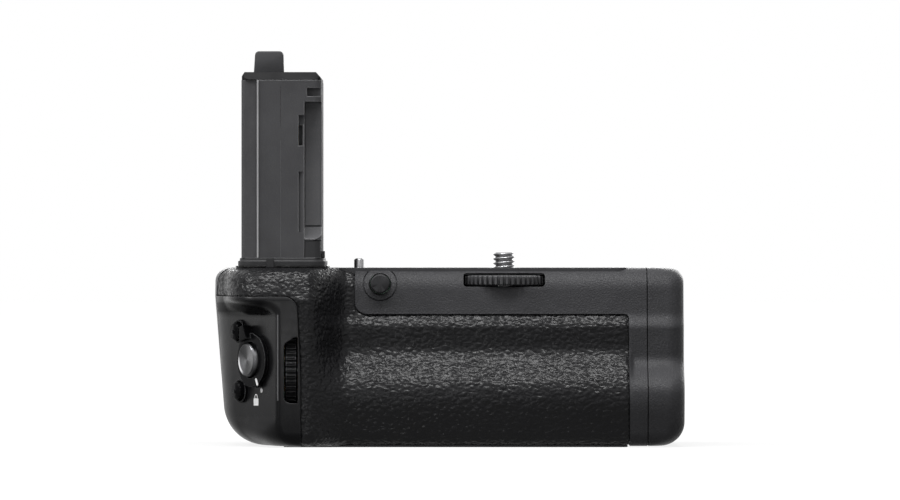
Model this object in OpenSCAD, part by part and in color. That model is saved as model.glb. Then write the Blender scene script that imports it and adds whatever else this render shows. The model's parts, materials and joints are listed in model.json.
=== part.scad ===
// Camera battery grip: a hand grip that screws under a camera, with a tower for the
// camera's battery shaft and a pull-out tray for two battery packs.
// X runs along the grip, the lens side faces -Y, Z is up, and z = 0 is the base.

/* [Battery packs] */
// Length of one battery bay
bay_l = 52; // [46:0.1:58]
// Depth of a battery bay
bay_d = 23.1; // [20.8:0.1:25.6]
// Height of a battery bay
bay_h = 39; // [35:0.1:43]
// Wall of the tray
tray_wall = 1; // [0.8:0.1:1.1]
// Wall of the tunnel round the tray
tunnel_wall = 1; // [0.9:0.1:1.1]

/* [Body] */
// Length of the head beyond the tray
head_l = 16.3; // [16:0.1:18]
// Length of the end cap
cap_l = 11.85; // [11.5:0.05:14]
// Space between the tunnel and the front strip
front_room = 7.7; // [7.5:0.1:9]
// Space between the tunnel and the rear face
rear_room = 5.6; // [5.4:0.1:6.4]
// Setback of the front strip behind the head
strip_setback = 16; // [14:0.5:18]
// Setback of the finger bulge behind the head
bulge_setback = 5; // [3:0.5:9]
// Setback of the rear face in front of the rearmost control
rear_setback = 7.6; // [7:0.1:8.5]
// Lean of the strip back towards the top
strip_lean = 1.4; // [1.3:0.1:2]
// Step of the skin out from under the strip
ledge_out = 1.6; // [0.4:0.1:2.4]
// Setback of the base under the finger bulge
belly_in = 2; // [0:0.1:2.2]
// Height of the strip
strip_h = 14.4; // [12:0.2:16]
// Distance from the strip's left edge to the head end
strip_in = 39.7; // [36:0.1:44]
// Distance from the skin's right edge to the cap end
band_in = 16; // [14.5:0.1:20]
// Swell of the thumb rest on the rear
thumb_out = 4; // [3.5:0.1:4.5]
// Rounding of the upper edges
top_r = 4; // [3.4:0.1:5]
// Rounding of the lower front and rear edges
edge_r = 4; // [3.4:0.1:5]
// Rounding under the end cap
end_r = 7; // [4:0.5:10]
// Rounding under the head
heel_r = 12; // [8:0.5:13]

/* [Head] */
// Angle by which the control flat turns from the front
facet_angle = 60; // [56:1:64]
// Distance from the flat's front edge to the head end
brow_in = 17.8; // [17:0.1:18.6]
// Distance from the valley's head side to the head end
flank_in = 26.2; // [25.4:0.1:28]
// Width of the valley between head and strip
flank_w = 12; // [9:0.5:13]
// Distance of the lip from the top
lip_in = 8.1; // [7.4:0.1:8.8]
// How far the lip stands out over the flat
lip_out = 7.4; // [5:0.1:8]
// Narrowing of the head from the lip to the base
head_taper = 3.6; // [1:0.1:4.4]

/* [Walls and clearances] */
// Wall of the covers
wall = 2.8; // [2.4:0.1:3]
// Thickness of the rubber skin
skin = 1; // [0.7:0.1:1.3]
// Bed of adhesive between a skin and its cover
bed = 0.05; // [0.02:0.01:0.1]
// Open joint between covers
seam = 0.3; // [0.2:0.05:0.5]
// Free space round moving pieces
free = 0.3; // [0.25:0.05:0.4]
// Radial play of shafts in their bores
play = 0.05; // [0.02:0.01:0.08]
// Gap by which the covers stay above the base
base_gap = 0.3; // [0.1:0.05:0.5]

/* [Controls] */
// Radius of the shutter button
shutter_r = 4.9; // [4.4:0.1:5.2]
// Travel of the shutter button
shutter_travel = 0.8; // [0.5:0.1:1]
// Height of the shutter button over the control flat
shutter_h = 2.9; // [2.4:0.1:3.4]
// Distance from the flat's front edge to the shutter axis
shutter_along = 13.6; // [13.2:0.1:14]
// Distance of the shutter axis from the top of the control flat
shutter_low = 12.5; // [11.6:0.1:13]
// Radius of the lock lever's ring
lever_r = 7.8; // [7.4:0.1:7.9]
// Radius of the round buttons beside the shutter button
custom_r = 2.6; // [2.2:0.1:2.8]
// Travel of the small buttons
button_travel = 0.6; // [0.4:0.1:0.7]
// Radius of the front dial
front_dial_r = 11; // [10:0.1:11.4]
// Distance of the front dial's axis from the top
front_dial_low = 29.2; // [27.5:0.1:30.5]
// Width of the front dial
front_dial_w = 3.4; // [3:0.1:3.6]
// Radius of the rear dial
rear_dial_r = 9.5; // [9:0.1:10]
// Width of the rear dial
rear_dial_w = 3.4; // [3:0.1:3.6]
// Ridges round a dial
dial_ridges = 40; // [24:2:60]
// Radius of the front button
front_button_r = 2.75; // [2.4:0.05:3]
// Distance from the front button to the head end
front_button_in = 47; // [46:0.1:49]
// Radius of the two rear buttons
rear_button_r = 3.2; // [2.8:0.1:3.4]
// Radius of the joystick's cap
stick_r = 3.4; // [3:0.1:3.6]

/* [Camera seat] */
// Thread diameter of the camera screw
screw_d = 6.3; // [6:0.05:6.35]
// Length of screw above the seat
screw_out = 4.4; // [4:0.1:5.5]
// Distance from the screw to the cap end
screw_in = 51.7; // [50.5:0.1:52.5]
// Radius of the attachment dial
attach_r = 13; // [12.4:0.1:13.2]
// Thickness of the attachment dial
attach_h = 2.9; // [2.5:0.1:2.9]
// Stand-out of the attachment dial from the strip
attach_out = 0.9; // [0.5:0.1:1.2]
// Ridges round the attachment dial
attach_ridges = 50; // [36:2:60]
// Diameter of the locating pin
pin_d = 2.8; // [2.4:0.1:3.2]
// Height of the locating pin above the seat
pin_out = 2.7; // [2:0.1:3.5]
// Distance from the locating pin to the head end
pin_in = 40.8; // [40:0.1:42]
// Bore of the tripod socket
socket_d = 5.2; // [5:0.05:5.4]
// Depth of the tripod socket
socket_deep = 6; // [5:0.5:6.5]

/* [Tower] */
// Width of the tower
tower_w = 23; // [22.4:0.1:23.2]
// Depth of the tower
tower_d = 38; // [37:0.1:38.2]
// Height of the tower above the seat
tower_h = 56.2; // [54:0.2:60]
// Distance from the tower's side to the head end
tower_in = 7.2; // [7:0.1:7.6]
// Height of the plinth
plinth_h = 2.8; // [2.4:0.1:3.4]
// Height of the tongue on the tower
tongue_h = 5.8; // [4:0.2:8]
// Width of the tongue at its root
tongue_w = 9.2; // [7:0.1:10]
// Width of the recess that keeps the camera's battery door
store_w = 4.9; // [4.5:0.1:5.4]
// Depth of that recess
store_d = 4.6; // [4.4:0.1:6]
// Wall of the tower
tower_wall = 1.6; // [1.2:0.1:2]

/* [Hidden] */
$fn = 48;
eps = 0.02;
far = 120;

// Overall size: the packs with their tray, and what lies round them
base_t = 2.1;
top_t = 2;
dial_gap = 0.8;
dial_out = 0.4;
tray_end = 1.2;
tray_l = 2*bay_l + 2*tray_end;
tray_h = bay_h + 2*tray_wall;
tunnel_h = tray_h + 2*free + 2*tunnel_wall;
tunnel_d = bay_d + tray_wall + 2*free + 2*tunnel_wall;
body_w = head_l + tray_l + cap_l - seam/2;
body_h = base_t + tunnel_h + attach_h + dial_gap + top_t;
body_d = dial_out + strip_setback + front_room + tunnel_d + rear_room + rear_setback;

// Outer faces and the planes between the covers
head_x = -body_w/2;
cap_x = body_w/2;
head_y = -body_d/2 + dial_out;
strip_y = head_y + strip_setback;
bulge_y = head_y + bulge_setback;
rear_y = body_d/2 - rear_setback;
part_y = strip_y + 17.6;
strip_low = body_h - strip_h;
lip_z = body_h - lip_in;
joint_x = cap_x - cap_l;
brow_x = head_x + brow_in;
flank_x = head_x + flank_in;
corner_r = 5;
nape_r = 8;
flat_z = lip_z - 5.8;
ledge_h = 4.5;
band_x = cap_x - band_in;
strip_r = 3.5;
bulge_top = strip_low - 4.5;
bulge_h = 17;
belly_top = 14;
heel_out = 2;
thumb_z = body_h - 27.4;

// Plates, tunnel and tray
deck_z = body_h - top_t;
tunnel_z = base_t;
tunnel_top = tunnel_z + tunnel_h;
tunnel_y = strip_y + front_room;
tunnel_back = tunnel_y + tunnel_d;
mate_x = joint_x + seam/2;
tray_x = mate_x - tray_l;
tray_y = tunnel_y + tunnel_wall + free;
tray_back = tunnel_back - tunnel_wall - free;
tray_z = tunnel_z + tunnel_wall + free;
tray_mid = (tray_y + tray_back)/2;
tray_mid_z = tray_z + tray_h/2;
tunnel_x = tray_x - free - tunnel_wall;
blade_t = 0.5;
contact_y = around(tray_y + 7.1, 4.1);
contact_z = around(tray_mid_z, 8.6);
cap_wall = 2;
seal_in = 0.8;
seal_w = 1.2;
seal_r = 3;
seal_y = [tunnel_y - 1.4, tunnel_back + 0.9];
seal_z = [tunnel_z + 0.3, tunnel_top + 0.8];
seal_ring = rounded(seal_y, seal_z, seal_r);
seal_path = concat(seal_ring, [seal_ring[0]]);
frame_end = joint_x - seam/2 - 0.4;
frame_t = 1.6;
frame_gap = 0.6;
frame_at = [flank_x + 0.5, head_x + 53.2, cap_x - 35.2, frame_end - frame_t];
base_x = [head_x + 19.4, joint_x - 4.5];
base_y = [bulge_y + edge_r + 1.2, tunnel_back + 0.4];

// Camera seat
screw_x = cap_x - screw_in;
screw_r = screw_d/2;
shoulder = 0.25;
journal_r = screw_r + shoulder;
bearing_r = 5;
attach_y = strip_y - attach_out + attach_r;
attach_z = deck_z - 0.2 - attach_h;
slot_w = 23.5;
slot_z = [attach_z - 0.4, deck_z + 0.5];
pin_x = head_x + pin_in;
pin_y = attach_y - 0.5;
socket_y = strip_y + 1;
bush_r = 6;
bush_h = socket_deep + 1.4;
button_x = head_x + front_button_in;
button_z = body_h - 4.6;
boss_r = 4.5;
switch_gap = 0.05;
front_foot_y = strip_y + 4.4;
front_board_y = tunnel_y - 1.2;

// Small screws and the main board
plate_screw_y = [tunnel_back - 5.8, tunnel_y + 1.9];
plate_screw_at = [[head_x + 36, plate_screw_y[0]], [head_x + 62, plate_screw_y[0]],
  [cap_x - 29, plate_screw_y[0]], [cap_x - 20, plate_screw_y[1]]];
base_screw_at = [for (i = [1:2]) frame_at[i] + frame_t/2];
base_screw_y = strip_y + 0.1;
screw_hole = 0.8;
screw_head = 1.7;
main_x = [frame_at[1] + 4, frame_at[2] - 4];
main_y = tunnel_y - 1.2;
main_z = around(tray_mid_z - 2.9, 10);

// Tower
tower_x = head_x + tower_in;
tower_back = tunnel_back;
tower_y = tower_back - tower_d;
plinth_top = body_h + plinth_h;
tower_top = body_h + tower_h;
tower_mid = tower_y + tower_d/2;
cap_h = 2.3;
tongue_x = tower_x + 3.3;
store_z = [plinth_top + 5.5, tower_top - 8.5];
flex_x = [tower_x + 9.5, tower_x + 17.5];
flex_y = tunnel_y - 1.6;
flex_z = around(tray_mid_z - 2.9, 5);
rail_x = tower_x + tower_w - store_w - 1.7;
slot_top = store_z[1] - 6.7;
store_slope = 3.4;
corner_x = tower_x + tower_w - store_w;
foot_h = store_z[0] - plinth_top - 0.4;

// Control flat: its own frame has u along the flat, v up and n out of the flat
shutter_z = flat_z - shutter_low;
shutter_p = [brow_x - shutter_along*cos(facet_angle), head_y + shutter_along*sin(facet_angle), shutter_z];
shutter_stem = 1.6;
shutter_foot = -5.2;
custom_foot = -4.4;
bezel_foot = -4.6;
bezel_in = 6.3;
bezel_out = 7.1;
bezel_flange = 8.1;
lever_top = 1.5;
lever_in = shutter_r + free;
lever_tab = 104;
lever_index = -60;
board_n = -7.8;
board_t = 1.2;
custom_at = [[-8.4, 8.1], [-7.4, -9]];
front_dial_x = brow_x + 3.9;
front_dial_y = head_y - dial_out + front_dial_r;
front_dial_z = body_h - front_dial_low;
axle_r = 1.5;

// Rear controls
stick_x = head_x + 23.2;
stick_z = body_h - 21.4;
stick_y = rear_y - 1.9;
stick_pin = 0.5;
rear_dial_x = tunnel_x - 3.2;
rear_dial_y = rear_y + 2.2 - rear_dial_r;
rear_dial_z = body_h - 20;
rear_slot = 9;
rear_button_at = [head_x + 34.2, head_x + 46.2];
rear_button_z = body_h - 10.4;
rear_button_y = tunnel_back + 1.4;
rear_board_x = [stick_x - 7, rear_button_at[1] + 5];
rear_board_y = tunnel_back + 0.4;
rear_board_z = [stick_z - 8, rear_button_z + 3];
latch_z = tray_mid_z + 1.1;
latch_h = 8;
latch_w = 10;
latch_in = 0.8;
latch_lap = 1.5;
latch_travel = 4;

// Smooth step from 0 to 1
function smooth(t) = let(s = max(0, min(1, t))) s*s*(3 - 2*s);

// Smooth hill of height 1 over -1 to 1
function hill(t) = abs(t) >= 1 ? 0 : pow(cos(90*t), 2);

// Inset of a rounded edge of radius r at t beyond the start of the rounding
function edge_in(r, t) = t <= 0 ? 0 : r - sqrt(max(0, r*r - pow(min(t, r), 2)));

// Front of the grip at height z: strip, ledge, finger bulge, and the belly under it
function front_y(z) = strip_y + strip_lean*max(0, z - strip_low)/strip_h
  - ledge_out*smooth((strip_low + 0.5 - z)/ledge_h)
  + (bulge_y - strip_y + ledge_out)*smooth((bulge_top - z)/bulge_h)
  + belly_in*smooth((belly_top - z)/belly_top);

// Swell of the thumb rest
function thumb(x, z) = thumb_out*hill((x - head_x - 25.2)/22)*hill((z - thumb_z)/22);

// Swell of the head over and under the control flat
function brow(z) = lip_out*smooth((z - flat_z)/5) + heel_out*smooth((9 - z)/7);

// Insets at height z of a form shrunk by d, for edges rounded by r at the base
function inset(z, d, r) = d + edge_in(top_r - d, z - body_h + top_r)
  + edge_in(r - d, base_gap + r - z);

// Front and rear of the form shrunk by d, at x and z
function front_at(x, z, d) = let(e = inset(z, d, edge_r), y = front_y(z) + e)
  y + (head_y + e - y)*smooth((flank_x + flank_w - x)/flank_w);
function rear_at(x, z, d) = rear_y - inset(z, d, edge_r) + thumb(x, z);

// Points of a quarter turn from angle a, seven to a corner
function quarter(c, r, a) = [for (i = [0:6]) c + r*[cos(a + 15*i), sin(a + 15*i)]];

// Plan outline of the form at height z, shrunk by d
function outline(z, d) = let(
    e = inset(z, d, edge_r),
    ef = inset(z, d, (heel_r + edge_r)/2),
    xl = head_x + head_taper*max(0, lip_z - z)/lip_z + inset(z, d, heel_r),
    xr = cap_x - inset(z, d, end_r),
    yf = front_y(z) + e,
    yh = head_y + e,
    yr = rear_y - e,
    n = [-sin(facet_angle), -cos(facet_angle)],
    c = n[0]*brow_x + n[1]*head_y - ef,
    b = [(c - n[1]*yh)/n[0], yh],
    k = [xl, (c - n[0]*xl)/n[1]],
    nose = function(s) b + s*(k - b) + n*brow(z)*6.75*s*pow(1 - s, 2),
    rc = max(0.8, corner_r - d),
    rn = max(0.8, nape_r - d),
    p = nose(0.78),
    q = [xl, k[1] + 0.2*brow(z)*n[1]],
    w = [xl, k[1] + 7],
    reach = xr - rc - xl - rn)
  concat(
    [for (a = [0:15:90]) [xr - rc + rc*cos(a), yf + rc - rc*sin(a)]],
    [for (i = [0:10]) let(x = flank_x + flank_w*(1 - i/10)) [x, front_at(x, z, d)]],
    [for (i = [0:9]) nose(0.078*i)],
    [for (i = [0:6]) let(t = i/6) (1 - t)*(1 - t)*p + 2*t*(1 - t)*q + t*t*w],
    [for (a = [0:15:90]) [xl + rn - rn*cos(a), yr - rn + rn*sin(a)]],
    [for (i = [1:12]) let(x = xl + rn + reach*i/13) [x, yr + thumb(x, z)]],
    [for (a = [0:15:90]) [xr - rc + rc*sin(a), yr - rc + rc*cos(a)]]);

// Heights of the outlines that make the form
function levels(d) = concat(
  [for (a = [0:22.5:90]) base_gap + edge_r - (edge_r - d)*cos(a)],
  [for (i = [1:14]) let(lo = base_gap + edge_r) lo + (strip_low - lo)*i/14],
  [for (i = [1:4]) let(hi = body_h - top_r) strip_low + (hi - strip_low)*i/5],
  [for (a = [0:22.5:90]) body_h - top_r + (top_r - d)*sin(a)]);

// Range of half width h round a middle m
function around(m, h) = [m - h, m + h];

// Corners of a rectangle with rounded corners
function rounded(x, y, r) = concat(
  quarter([x[1] - r, y[1] - r], r, 0),
  quarter([x[0] + r, y[1] - r], r, 90),
  quarter([x[0] + r, y[0] + r], r, 180),
  quarter([x[1] - r, y[0] + r], r, 270));

// Edge of the strip, of the panel and of the thumb skin, as seen along Y
strip_edge = concat(
  [[head_x + strip_in, far]],
  quarter([head_x + strip_in + strip_r, strip_low + strip_r], strip_r, 180),
  [for (i = [6:-1:0]) quarter([band_x - 1.2, strip_low - 1.2], 1.2, 0)[i]],
  [[band_x + 0.6, -far]]);
panel_edge = concat(
  [[-far, lip_z]],
  [for (i = [6:-1:0]) quarter([brow_x + 1.8, lip_z - 4], 4, 0)[i]],
  [[flank_x - 1.7, 20], [flank_x - 1.2, -far]]);
thumb_ring = rounded([head_x + 6.5, head_x + 43], [4.6, rear_dial_z - rear_dial_r - 0.9], 5);
thumb_edge = concat(thumb_ring, [thumb_ring[0]]);

// Solid between the outlines
module form(d) {
  zs = levels(d);
  rings = [for (z = zs) outline(z, d)];
  n = len(rings[0]);
  m = len(zs);
  points = [for (k = [0:m - 1]) each [for (p = rings[k]) [p[0], p[1], zs[k]]]];
  sides = [for (k = [0:m - 2]) each [for (i = [0:n - 1])
    let(a = k*n + i, b = k*n + (i + 1)%n) each [[a, b, a + n], [b, b + n, a + n]]]];
  base = [for (i = [n - 1:-1:0]) i];
  top = [for (i = [0:n - 1]) (m - 1)*n + i];
  polyhedron(points, concat([base], sides, [top]), convexity = 8);
}

// Slab between two planes across X or Y
module between_x(a, b) translate([a, -far, -far]) cube([b - a, 2*far, 2*far]);
module between_y(a, b) translate([-far, a, -far]) cube([2*far, b - a, 2*far]);

// Upright shape drawn in X and Z, made solid along Y from a to b
module along_y(a, b) translate([0, b, 0]) rotate([90, 0, 0]) linear_extrude(b - a) children();

// Shape drawn in Y and Z, made solid along X from a to b
module along_x(a, b) translate([a, 0, 0]) rotate([90, 0, 90]) linear_extrude(b - a) children();

// Cylinder along X or Y between two places
module rod_x(r, a, b, y, z) translate([a, y, z]) rotate([0, 90, 0]) cylinder(r = r, h = b - a);
module rod_y(r, a, b, x, z) translate([x, b, z]) rotate([90, 0, 0]) cylinder(r = r, h = b - a);

// Block between two corners
module block(p, q) translate(p) cube(q - p);

// Groove of width w that follows a path drawn flat
module trace(path, w) for (i = [0:len(path) - 2]) hull() {
  translate(path[i]) circle(d = w, $fn = 12);
  translate(path[i + 1]) circle(d = w, $fn = 12);
}

// Frame of the control flat
module on_flat() translate(shutter_p) rotate([90, 0, -facet_angle]) children();

// Zones of the shell
module strip_zone() along_y(-far, part_y) polygon(concat(strip_edge, [[far, -far], [far, far]]));
module strip_seam() along_y(-far, part_y) trace(strip_edge, seam);
module panel_zone() along_y(-far, part_y) polygon(concat(panel_edge, [[-far, -far]]));
module panel_seam() along_y(-far, part_y) trace(panel_edge, seam);
module thumb_zone() along_y(part_y, far) polygon(thumb_ring);
module thumb_seam() along_y(part_y, far) trace(thumb_edge, seam);

// Outline of the seat plate, grown by g
module seat_outline(g) {
  x = [head_x + 5.6, joint_x - 4.5];
  polygon(rounded(x + [-g, g], [strip_y + 5 - g, tower_back + 0.9 + g], 3));
  polygon(rounded([x[0] - g, tower_x + tower_w + 1.8 + g], [tower_y - 1.4 - g, 0], 5.5));
}
module seat_opening() translate([0, 0, deck_z - 3]) linear_extrude(far) seat_outline(play);
module base_outline(g) polygon(rounded(base_x + [-g, g], base_y + [-g, g], 2));
module base_opening() {
  translate([0, 0, -1]) linear_extrude(base_t + 3.2) base_outline(play);
  block([tunnel_x - play, tunnel_y - play, tunnel_z - play], [far, tunnel_back + play, 9]);
}

// Ribbed disc
module ribbed(r, h, count, depth) linear_extrude(h)
  polygon([for (i = [0:4*count - 1]) let(a = 90*i/count, s = r - (i%4 < 2 ? 0 : depth))
    s*[cos(a), sin(a)]]);

// Section that fits inside the covers from a to b along X
function inside(a, b) = let(d = wall + frame_gap, zs = levels(d), m = len(zs)) concat(
  [for (i = [0:m - 1]) [max(front_at(a, zs[i], d), front_at(b, zs[i], d)), zs[i]]],
  [for (i = [m - 1:-1:0]) [min(rear_at(a, zs[i], d), rear_at(b, zs[i], d)), zs[i]]]);

// Inner frame: the tunnel for the tray, with the posts of the seat plate and of the boards
module chassis() color("dimgray") difference() {
  union() {
    block([tunnel_x, tunnel_y, tunnel_z], [frame_end, tunnel_back, tunnel_top]);
    for (p = plate_screw_at) translate([p[0], p[1], tunnel_top - eps])
      cylinder(r = 2.4, h = deck_z - tunnel_top + eps);
    for (x = main_x + [4, -4], z = main_z + [3, -3]) rod_y(1.6, main_y, tunnel_y + eps, x, z);
    rod_y(2, front_board_y, tunnel_y + eps, button_x, button_z - 5);
    rod_x(3, tunnel_x - 1.2, tunnel_x + eps, rear_dial_y, rear_dial_z);
  }
  block([tray_x - free, tray_y - free, tray_z - free], [far, tray_back + free, tray_z + tray_h + free]);
  block([tunnel_x - 1, contact_y[0] + 0.6, contact_z[0] + 0.6],
    [tray_x, contact_y[1] - 0.6, contact_z[1] - 0.6]);
  for (p = plate_screw_at) translate([p[0], p[1], deck_z - 3]) cylinder(r = screw_hole, h = 4);
  rod_x(axle_r, tunnel_x - 2, tunnel_x + 0.6, rear_dial_y, rear_dial_z);
}

// Bulkheads round the tunnel that carry the covers, with the posts of the base plate
module bulkheads() color("dimgray") difference() {
  union() {
    for (x = frame_at) intersection() {
      along_x(x, x + frame_t) polygon(inside(x, x + frame_t));
      block([-far, -far, base_t], [far, far, deck_z]);
    }
    for (x = base_screw_at) translate([x, base_screw_y, base_t]) cylinder(r = 2.4, h = 6);
  }
  block([tunnel_x - 1, tunnel_y, base_t - 1], [far, tunnel_back, tunnel_top]);
  block([-far, flex_y - 0.6, flex_z[0] - 0.6], [frame_at[1] + frame_t + 1, tunnel_y + 1, flex_z[1] + 0.6]);
  block([rear_board_x[0] - 0.2, tunnel_back - 1, rear_board_z[0] - 0.2],
    [rear_board_x[1] + 0.2, far, rear_board_z[1] + 0.2]);
  for (x = base_screw_at) translate([x, base_screw_y, 0]) cylinder(r = screw_hole, h = 7);
  rod_x(axle_r, frame_at[0] - 1, frame_at[0] + frame_t + 1, front_dial_y, front_dial_z);
}

// Small screws of the base plate and of the seat plate
module base_screws() color("silver") for (x = base_screw_at) translate([x, base_screw_y, 0.4]) {
  cylinder(r = screw_head, h = 1);
  cylinder(r = screw_hole - eps, h = 5.5);
}

module plate_screws() color("silver") for (p = plate_screw_at) translate([p[0], p[1], body_h - 0.4]) {
  translate([0, 0, -0.9]) cylinder(r = screw_head, h = 0.9);
  translate([0, 0, -4]) cylinder(r = screw_hole - eps, h = 3.2);
}

// Front shell, set back under the skin and full under the strip
module front_cover() color("#3f3f41") difference() {
  union() {
    difference() {
      intersection() {
        union() {
          form(skin + bed);
          difference() {
            intersection() {
              form(0);
              strip_zone();
            }
            strip_seam();
          }
        }
        between_y(-far, part_y - seam/2);
        between_x(-far, joint_x - seam/2);
      }
      form(wall);
      panel_zone();
      panel_seam();
    }
    rod_y(boss_r, strip_y - 0.1, strip_y + 4, button_x, button_z);
  }
  seat_opening();
  base_opening();
  along_y(strip_y - 6, attach_y)
    polygon(rounded([screw_x - slot_w/2, screw_x + slot_w/2], slot_z, 1));
  rod_y(front_button_r + free, strip_y - 1, strip_y + 8, button_x, button_z);
  rod_y(front_button_r + 1.1, strip_y - 1, strip_y + 0.4, button_x, button_z);
}

// Rubber skin of the grip and of the head's top band
module grip_skin() color("#2b2b2d") difference() {
  form(0);
  form(skin);
  strip_zone();
  strip_seam();
  panel_zone();
  panel_seam();
  between_y(part_y - seam/2, far);
  between_x(joint_x - seam/2, far);
  seat_opening();
  base_opening();
}

// Panel with the control flat, the scoop round it and the dial slot
module control_panel() color("#151516") difference() {
  intersection() {
    form(0);
    panel_zone();
  }
  form(wall);
  panel_seam();
  between_y(part_y - seam/2, far);
  base_opening();
  on_flat() translate([0, 0, -wall - 3]) {
    cylinder(r = bezel_out + free, h = wall + 6);
    for (p = custom_at) translate(p) cylinder(r = custom_r + free, h = wall + 6);
  }
  along_y(head_y - 3, head_y + 9) polygon(rounded(
    around(front_dial_x, front_dial_w/2 + free), around(front_dial_z, 9.5), 0.8));
}

// Rear shell with its openings for the rear controls
module rear_cover() color("#3f3f41") difference() {
  union() {
    form(skin + bed);
    difference() {
      form(0);
      thumb_zone();
      thumb_seam();
    }
  }
  form(wall);
  between_y(-far, part_y + seam/2);
  between_x(joint_x - seam/2, far);
  seat_opening();
  base_opening();
  for (x = rear_button_at) rod_y(rear_button_r + free, rear_y - 6, far, x, rear_button_z);
  rod_y(stick_r - 0.4, rear_y - 6, far, stick_x, stick_z);
  along_y(rear_y - 8, far) polygon(rounded(
    around(rear_dial_x, rear_dial_w/2 + free), around(rear_dial_z, rear_slot), 0.8));
}

// Rubber pad on the thumb rest
module thumb_skin() color("#2b2b2d") difference() {
  intersection() {
    form(0);
    thumb_zone();
  }
  form(skin);
  thumb_seam();
}

// End cap that closes the tunnel and pulls the tray
module tray_cap() color("#3f3f41") difference() {
  intersection() {
    form(0);
    between_x(mate_x, far);
  }
  intersection() {
    form(wall);
    between_x(mate_x + cap_wall, far);
  }
  along_x(mate_x - 1, mate_x + seal_in) trace(seal_path, seal_w);
  along_x(cap_x - wall - 1, far) polygon(rounded(around(tray_mid, latch_w/2 + free),
    [latch_z - free, latch_z + latch_h + latch_travel + free], 1));
}

// Seal in the groove of the end cap
module tray_seal() color("#202020") difference() {
  g = (seal_w/2 - 0.1)*[-1, 1];
  along_x(mate_x - 0.2, mate_x + seal_in - eps) polygon(rounded(seal_y + g, seal_z + g, seal_r + g[1]));
  along_x(mate_x - 1, mate_x + seal_in + 1) polygon(rounded(seal_y - g, seal_z - g, seal_r - g[1]));
}

// Thumb slide on the end cap, with its plate behind the face
module tray_latch() color("#2a2a2c") {
  x = cap_x - wall - free;
  y = around(tray_mid, latch_w/2);
  difference() {
    block([x - eps, y[0], latch_z], [cap_x - latch_in, y[1], latch_z + latch_h]);
    for (z = [1.6:1.6:latch_h - 1]) along_y(-far, far)
      translate([cap_x - latch_in, latch_z + z]) circle(r = 0.5);
  }
  block([x - 1.1, y[0] - latch_lap, latch_z - latch_lap],
    [x, y[1] + latch_lap, latch_z + latch_h + latch_lap]);
}

// Tray with two bays that open to the rear; the end cap closes the outer one
module battery_tray() color("#2e2e30") difference() {
  block([tray_x, tray_y, tray_z], [mate_x, tray_back, tray_z + tray_h]);
  for (i = [0:1]) let(x = tray_x + tray_end + i*(bay_l + tray_end)) {
    block([x, tray_y + tray_wall, tray_z + tray_wall],
      [x + bay_l + i*eps, far, tray_z + tray_wall + bay_h]);
    rod_y(9, -far, tray_back, x + bay_l/2, tray_z + tray_h/2);
  }
}

// Spring blades on the inner end of each bay
module tray_contacts() color("gold") for (i = [0:1], k = [-1:1]) {
  x = tray_x + tray_end + i*(bay_l + tray_end);
  y = tray_y + tray_wall + 4;
  z = tray_z + tray_h/2 + 5*k;
  block([x, y, z - 1], [x + blade_t, y + 8, z + 1]);
}

// Contact block at the end of the tunnel
module bay_contact_block() color("#1c1c1e") block([tunnel_x - 3, contact_y[0], contact_z[0]],
  [tunnel_x, contact_y[1], contact_z[1]]);
module bay_contacts() color("gold") for (i = [0:3])
  rod_x(0.7, tunnel_x, tray_x - 0.1, tray_y + 7.1, tray_mid_z + 3.4*(i - 1.5));

// Seat plate on top
module top_plate() color("#2c2c2e") difference() {
  translate([0, 0, deck_z]) linear_extrude(top_t) seat_outline(0);
  translate([screw_x, attach_y, deck_z - 1]) cylinder(r = bearing_r, h = 5);
  translate([pin_x, pin_y, deck_z - 1]) cylinder(r = pin_d/2 + shoulder, h = 5);
  block([flex_x[0] - 0.6, flex_y - 0.5, deck_z - 1], [flex_x[1] + 0.6, flex_y + 0.8, body_h + 1]);
  for (p = plate_screw_at) translate([p[0], p[1], deck_z - 1]) {
    cylinder(r = screw_hole + 0.1, h = 4);
    translate([0, 0, top_t - 0.3]) cylinder(r = screw_head + 0.1, h = 4);
  }
}

// Base plate
module bottom_plate() color("#1c1c1e") difference() {
  linear_extrude(base_t) base_outline(0);
  translate([screw_x, socket_y, -1]) cylinder(r = bush_r, h = 5);
  for (x = base_screw_at) translate([x, base_screw_y, -1]) {
    cylinder(r = screw_hole + 0.1, h = 5);
    cylinder(r = screw_head + 0.1, h = 2.4);
  }
}

// Threaded bush for a tripod
module tripod_bush() color("silver") translate([screw_x, socket_y, 0]) difference() {
  union() {
    cylinder(r = bush_r - eps, h = bush_h);
    translate([0, 0, base_t]) cylinder(r = bush_r + 0.5, h = 1.2);
  }
  translate([0, 0, -1]) cylinder(d = socket_d, h = socket_deep + 1);
}

// Bearing of the camera screw
module screw_bush() color("silver") translate([screw_x, attach_y, deck_z]) difference() {
  cylinder(r = bearing_r - eps, h = top_t);
  translate([0, 0, -1]) cylinder(r = journal_r + play, h = top_t + 2);
}

// Pin that fixes the grip's place under the camera
module locating_pin() color("silver") translate([pin_x, pin_y, 0]) rotate_extrude() polygon([
  [0, deck_z - 1.6], [pin_d/2 + 1, deck_z - 1.6], [pin_d/2 + 1, deck_z],
  [pin_d/2 + shoulder - eps, deck_z], [pin_d/2 + shoulder - eps, body_h], [pin_d/2, body_h],
  [pin_d/2, body_h + pin_out - 0.4], [pin_d/2 - 0.4, body_h + pin_out], [0, body_h + pin_out]]);

// Ribbed dial and the screw that turns with it
module attachment_dial() color("#1a1a1b") translate([screw_x, attach_y, attach_z]) difference() {
  ribbed(attach_r, attach_h, attach_ridges, 0.5);
  translate([0, 0, -1]) cylinder(r = journal_r + eps, h = attach_h + 2);
}
module camera_screw() color("silver") translate([screw_x, attach_y, 0]) rotate_extrude() polygon([
  [0, attach_z - 0.3], [journal_r, attach_z - 0.3], [journal_r, body_h], [screw_r, body_h],
  [screw_r, body_h + screw_out - 0.6], [screw_r - 0.6, body_h + screw_out], [0, body_h + screw_out]]);

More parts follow.
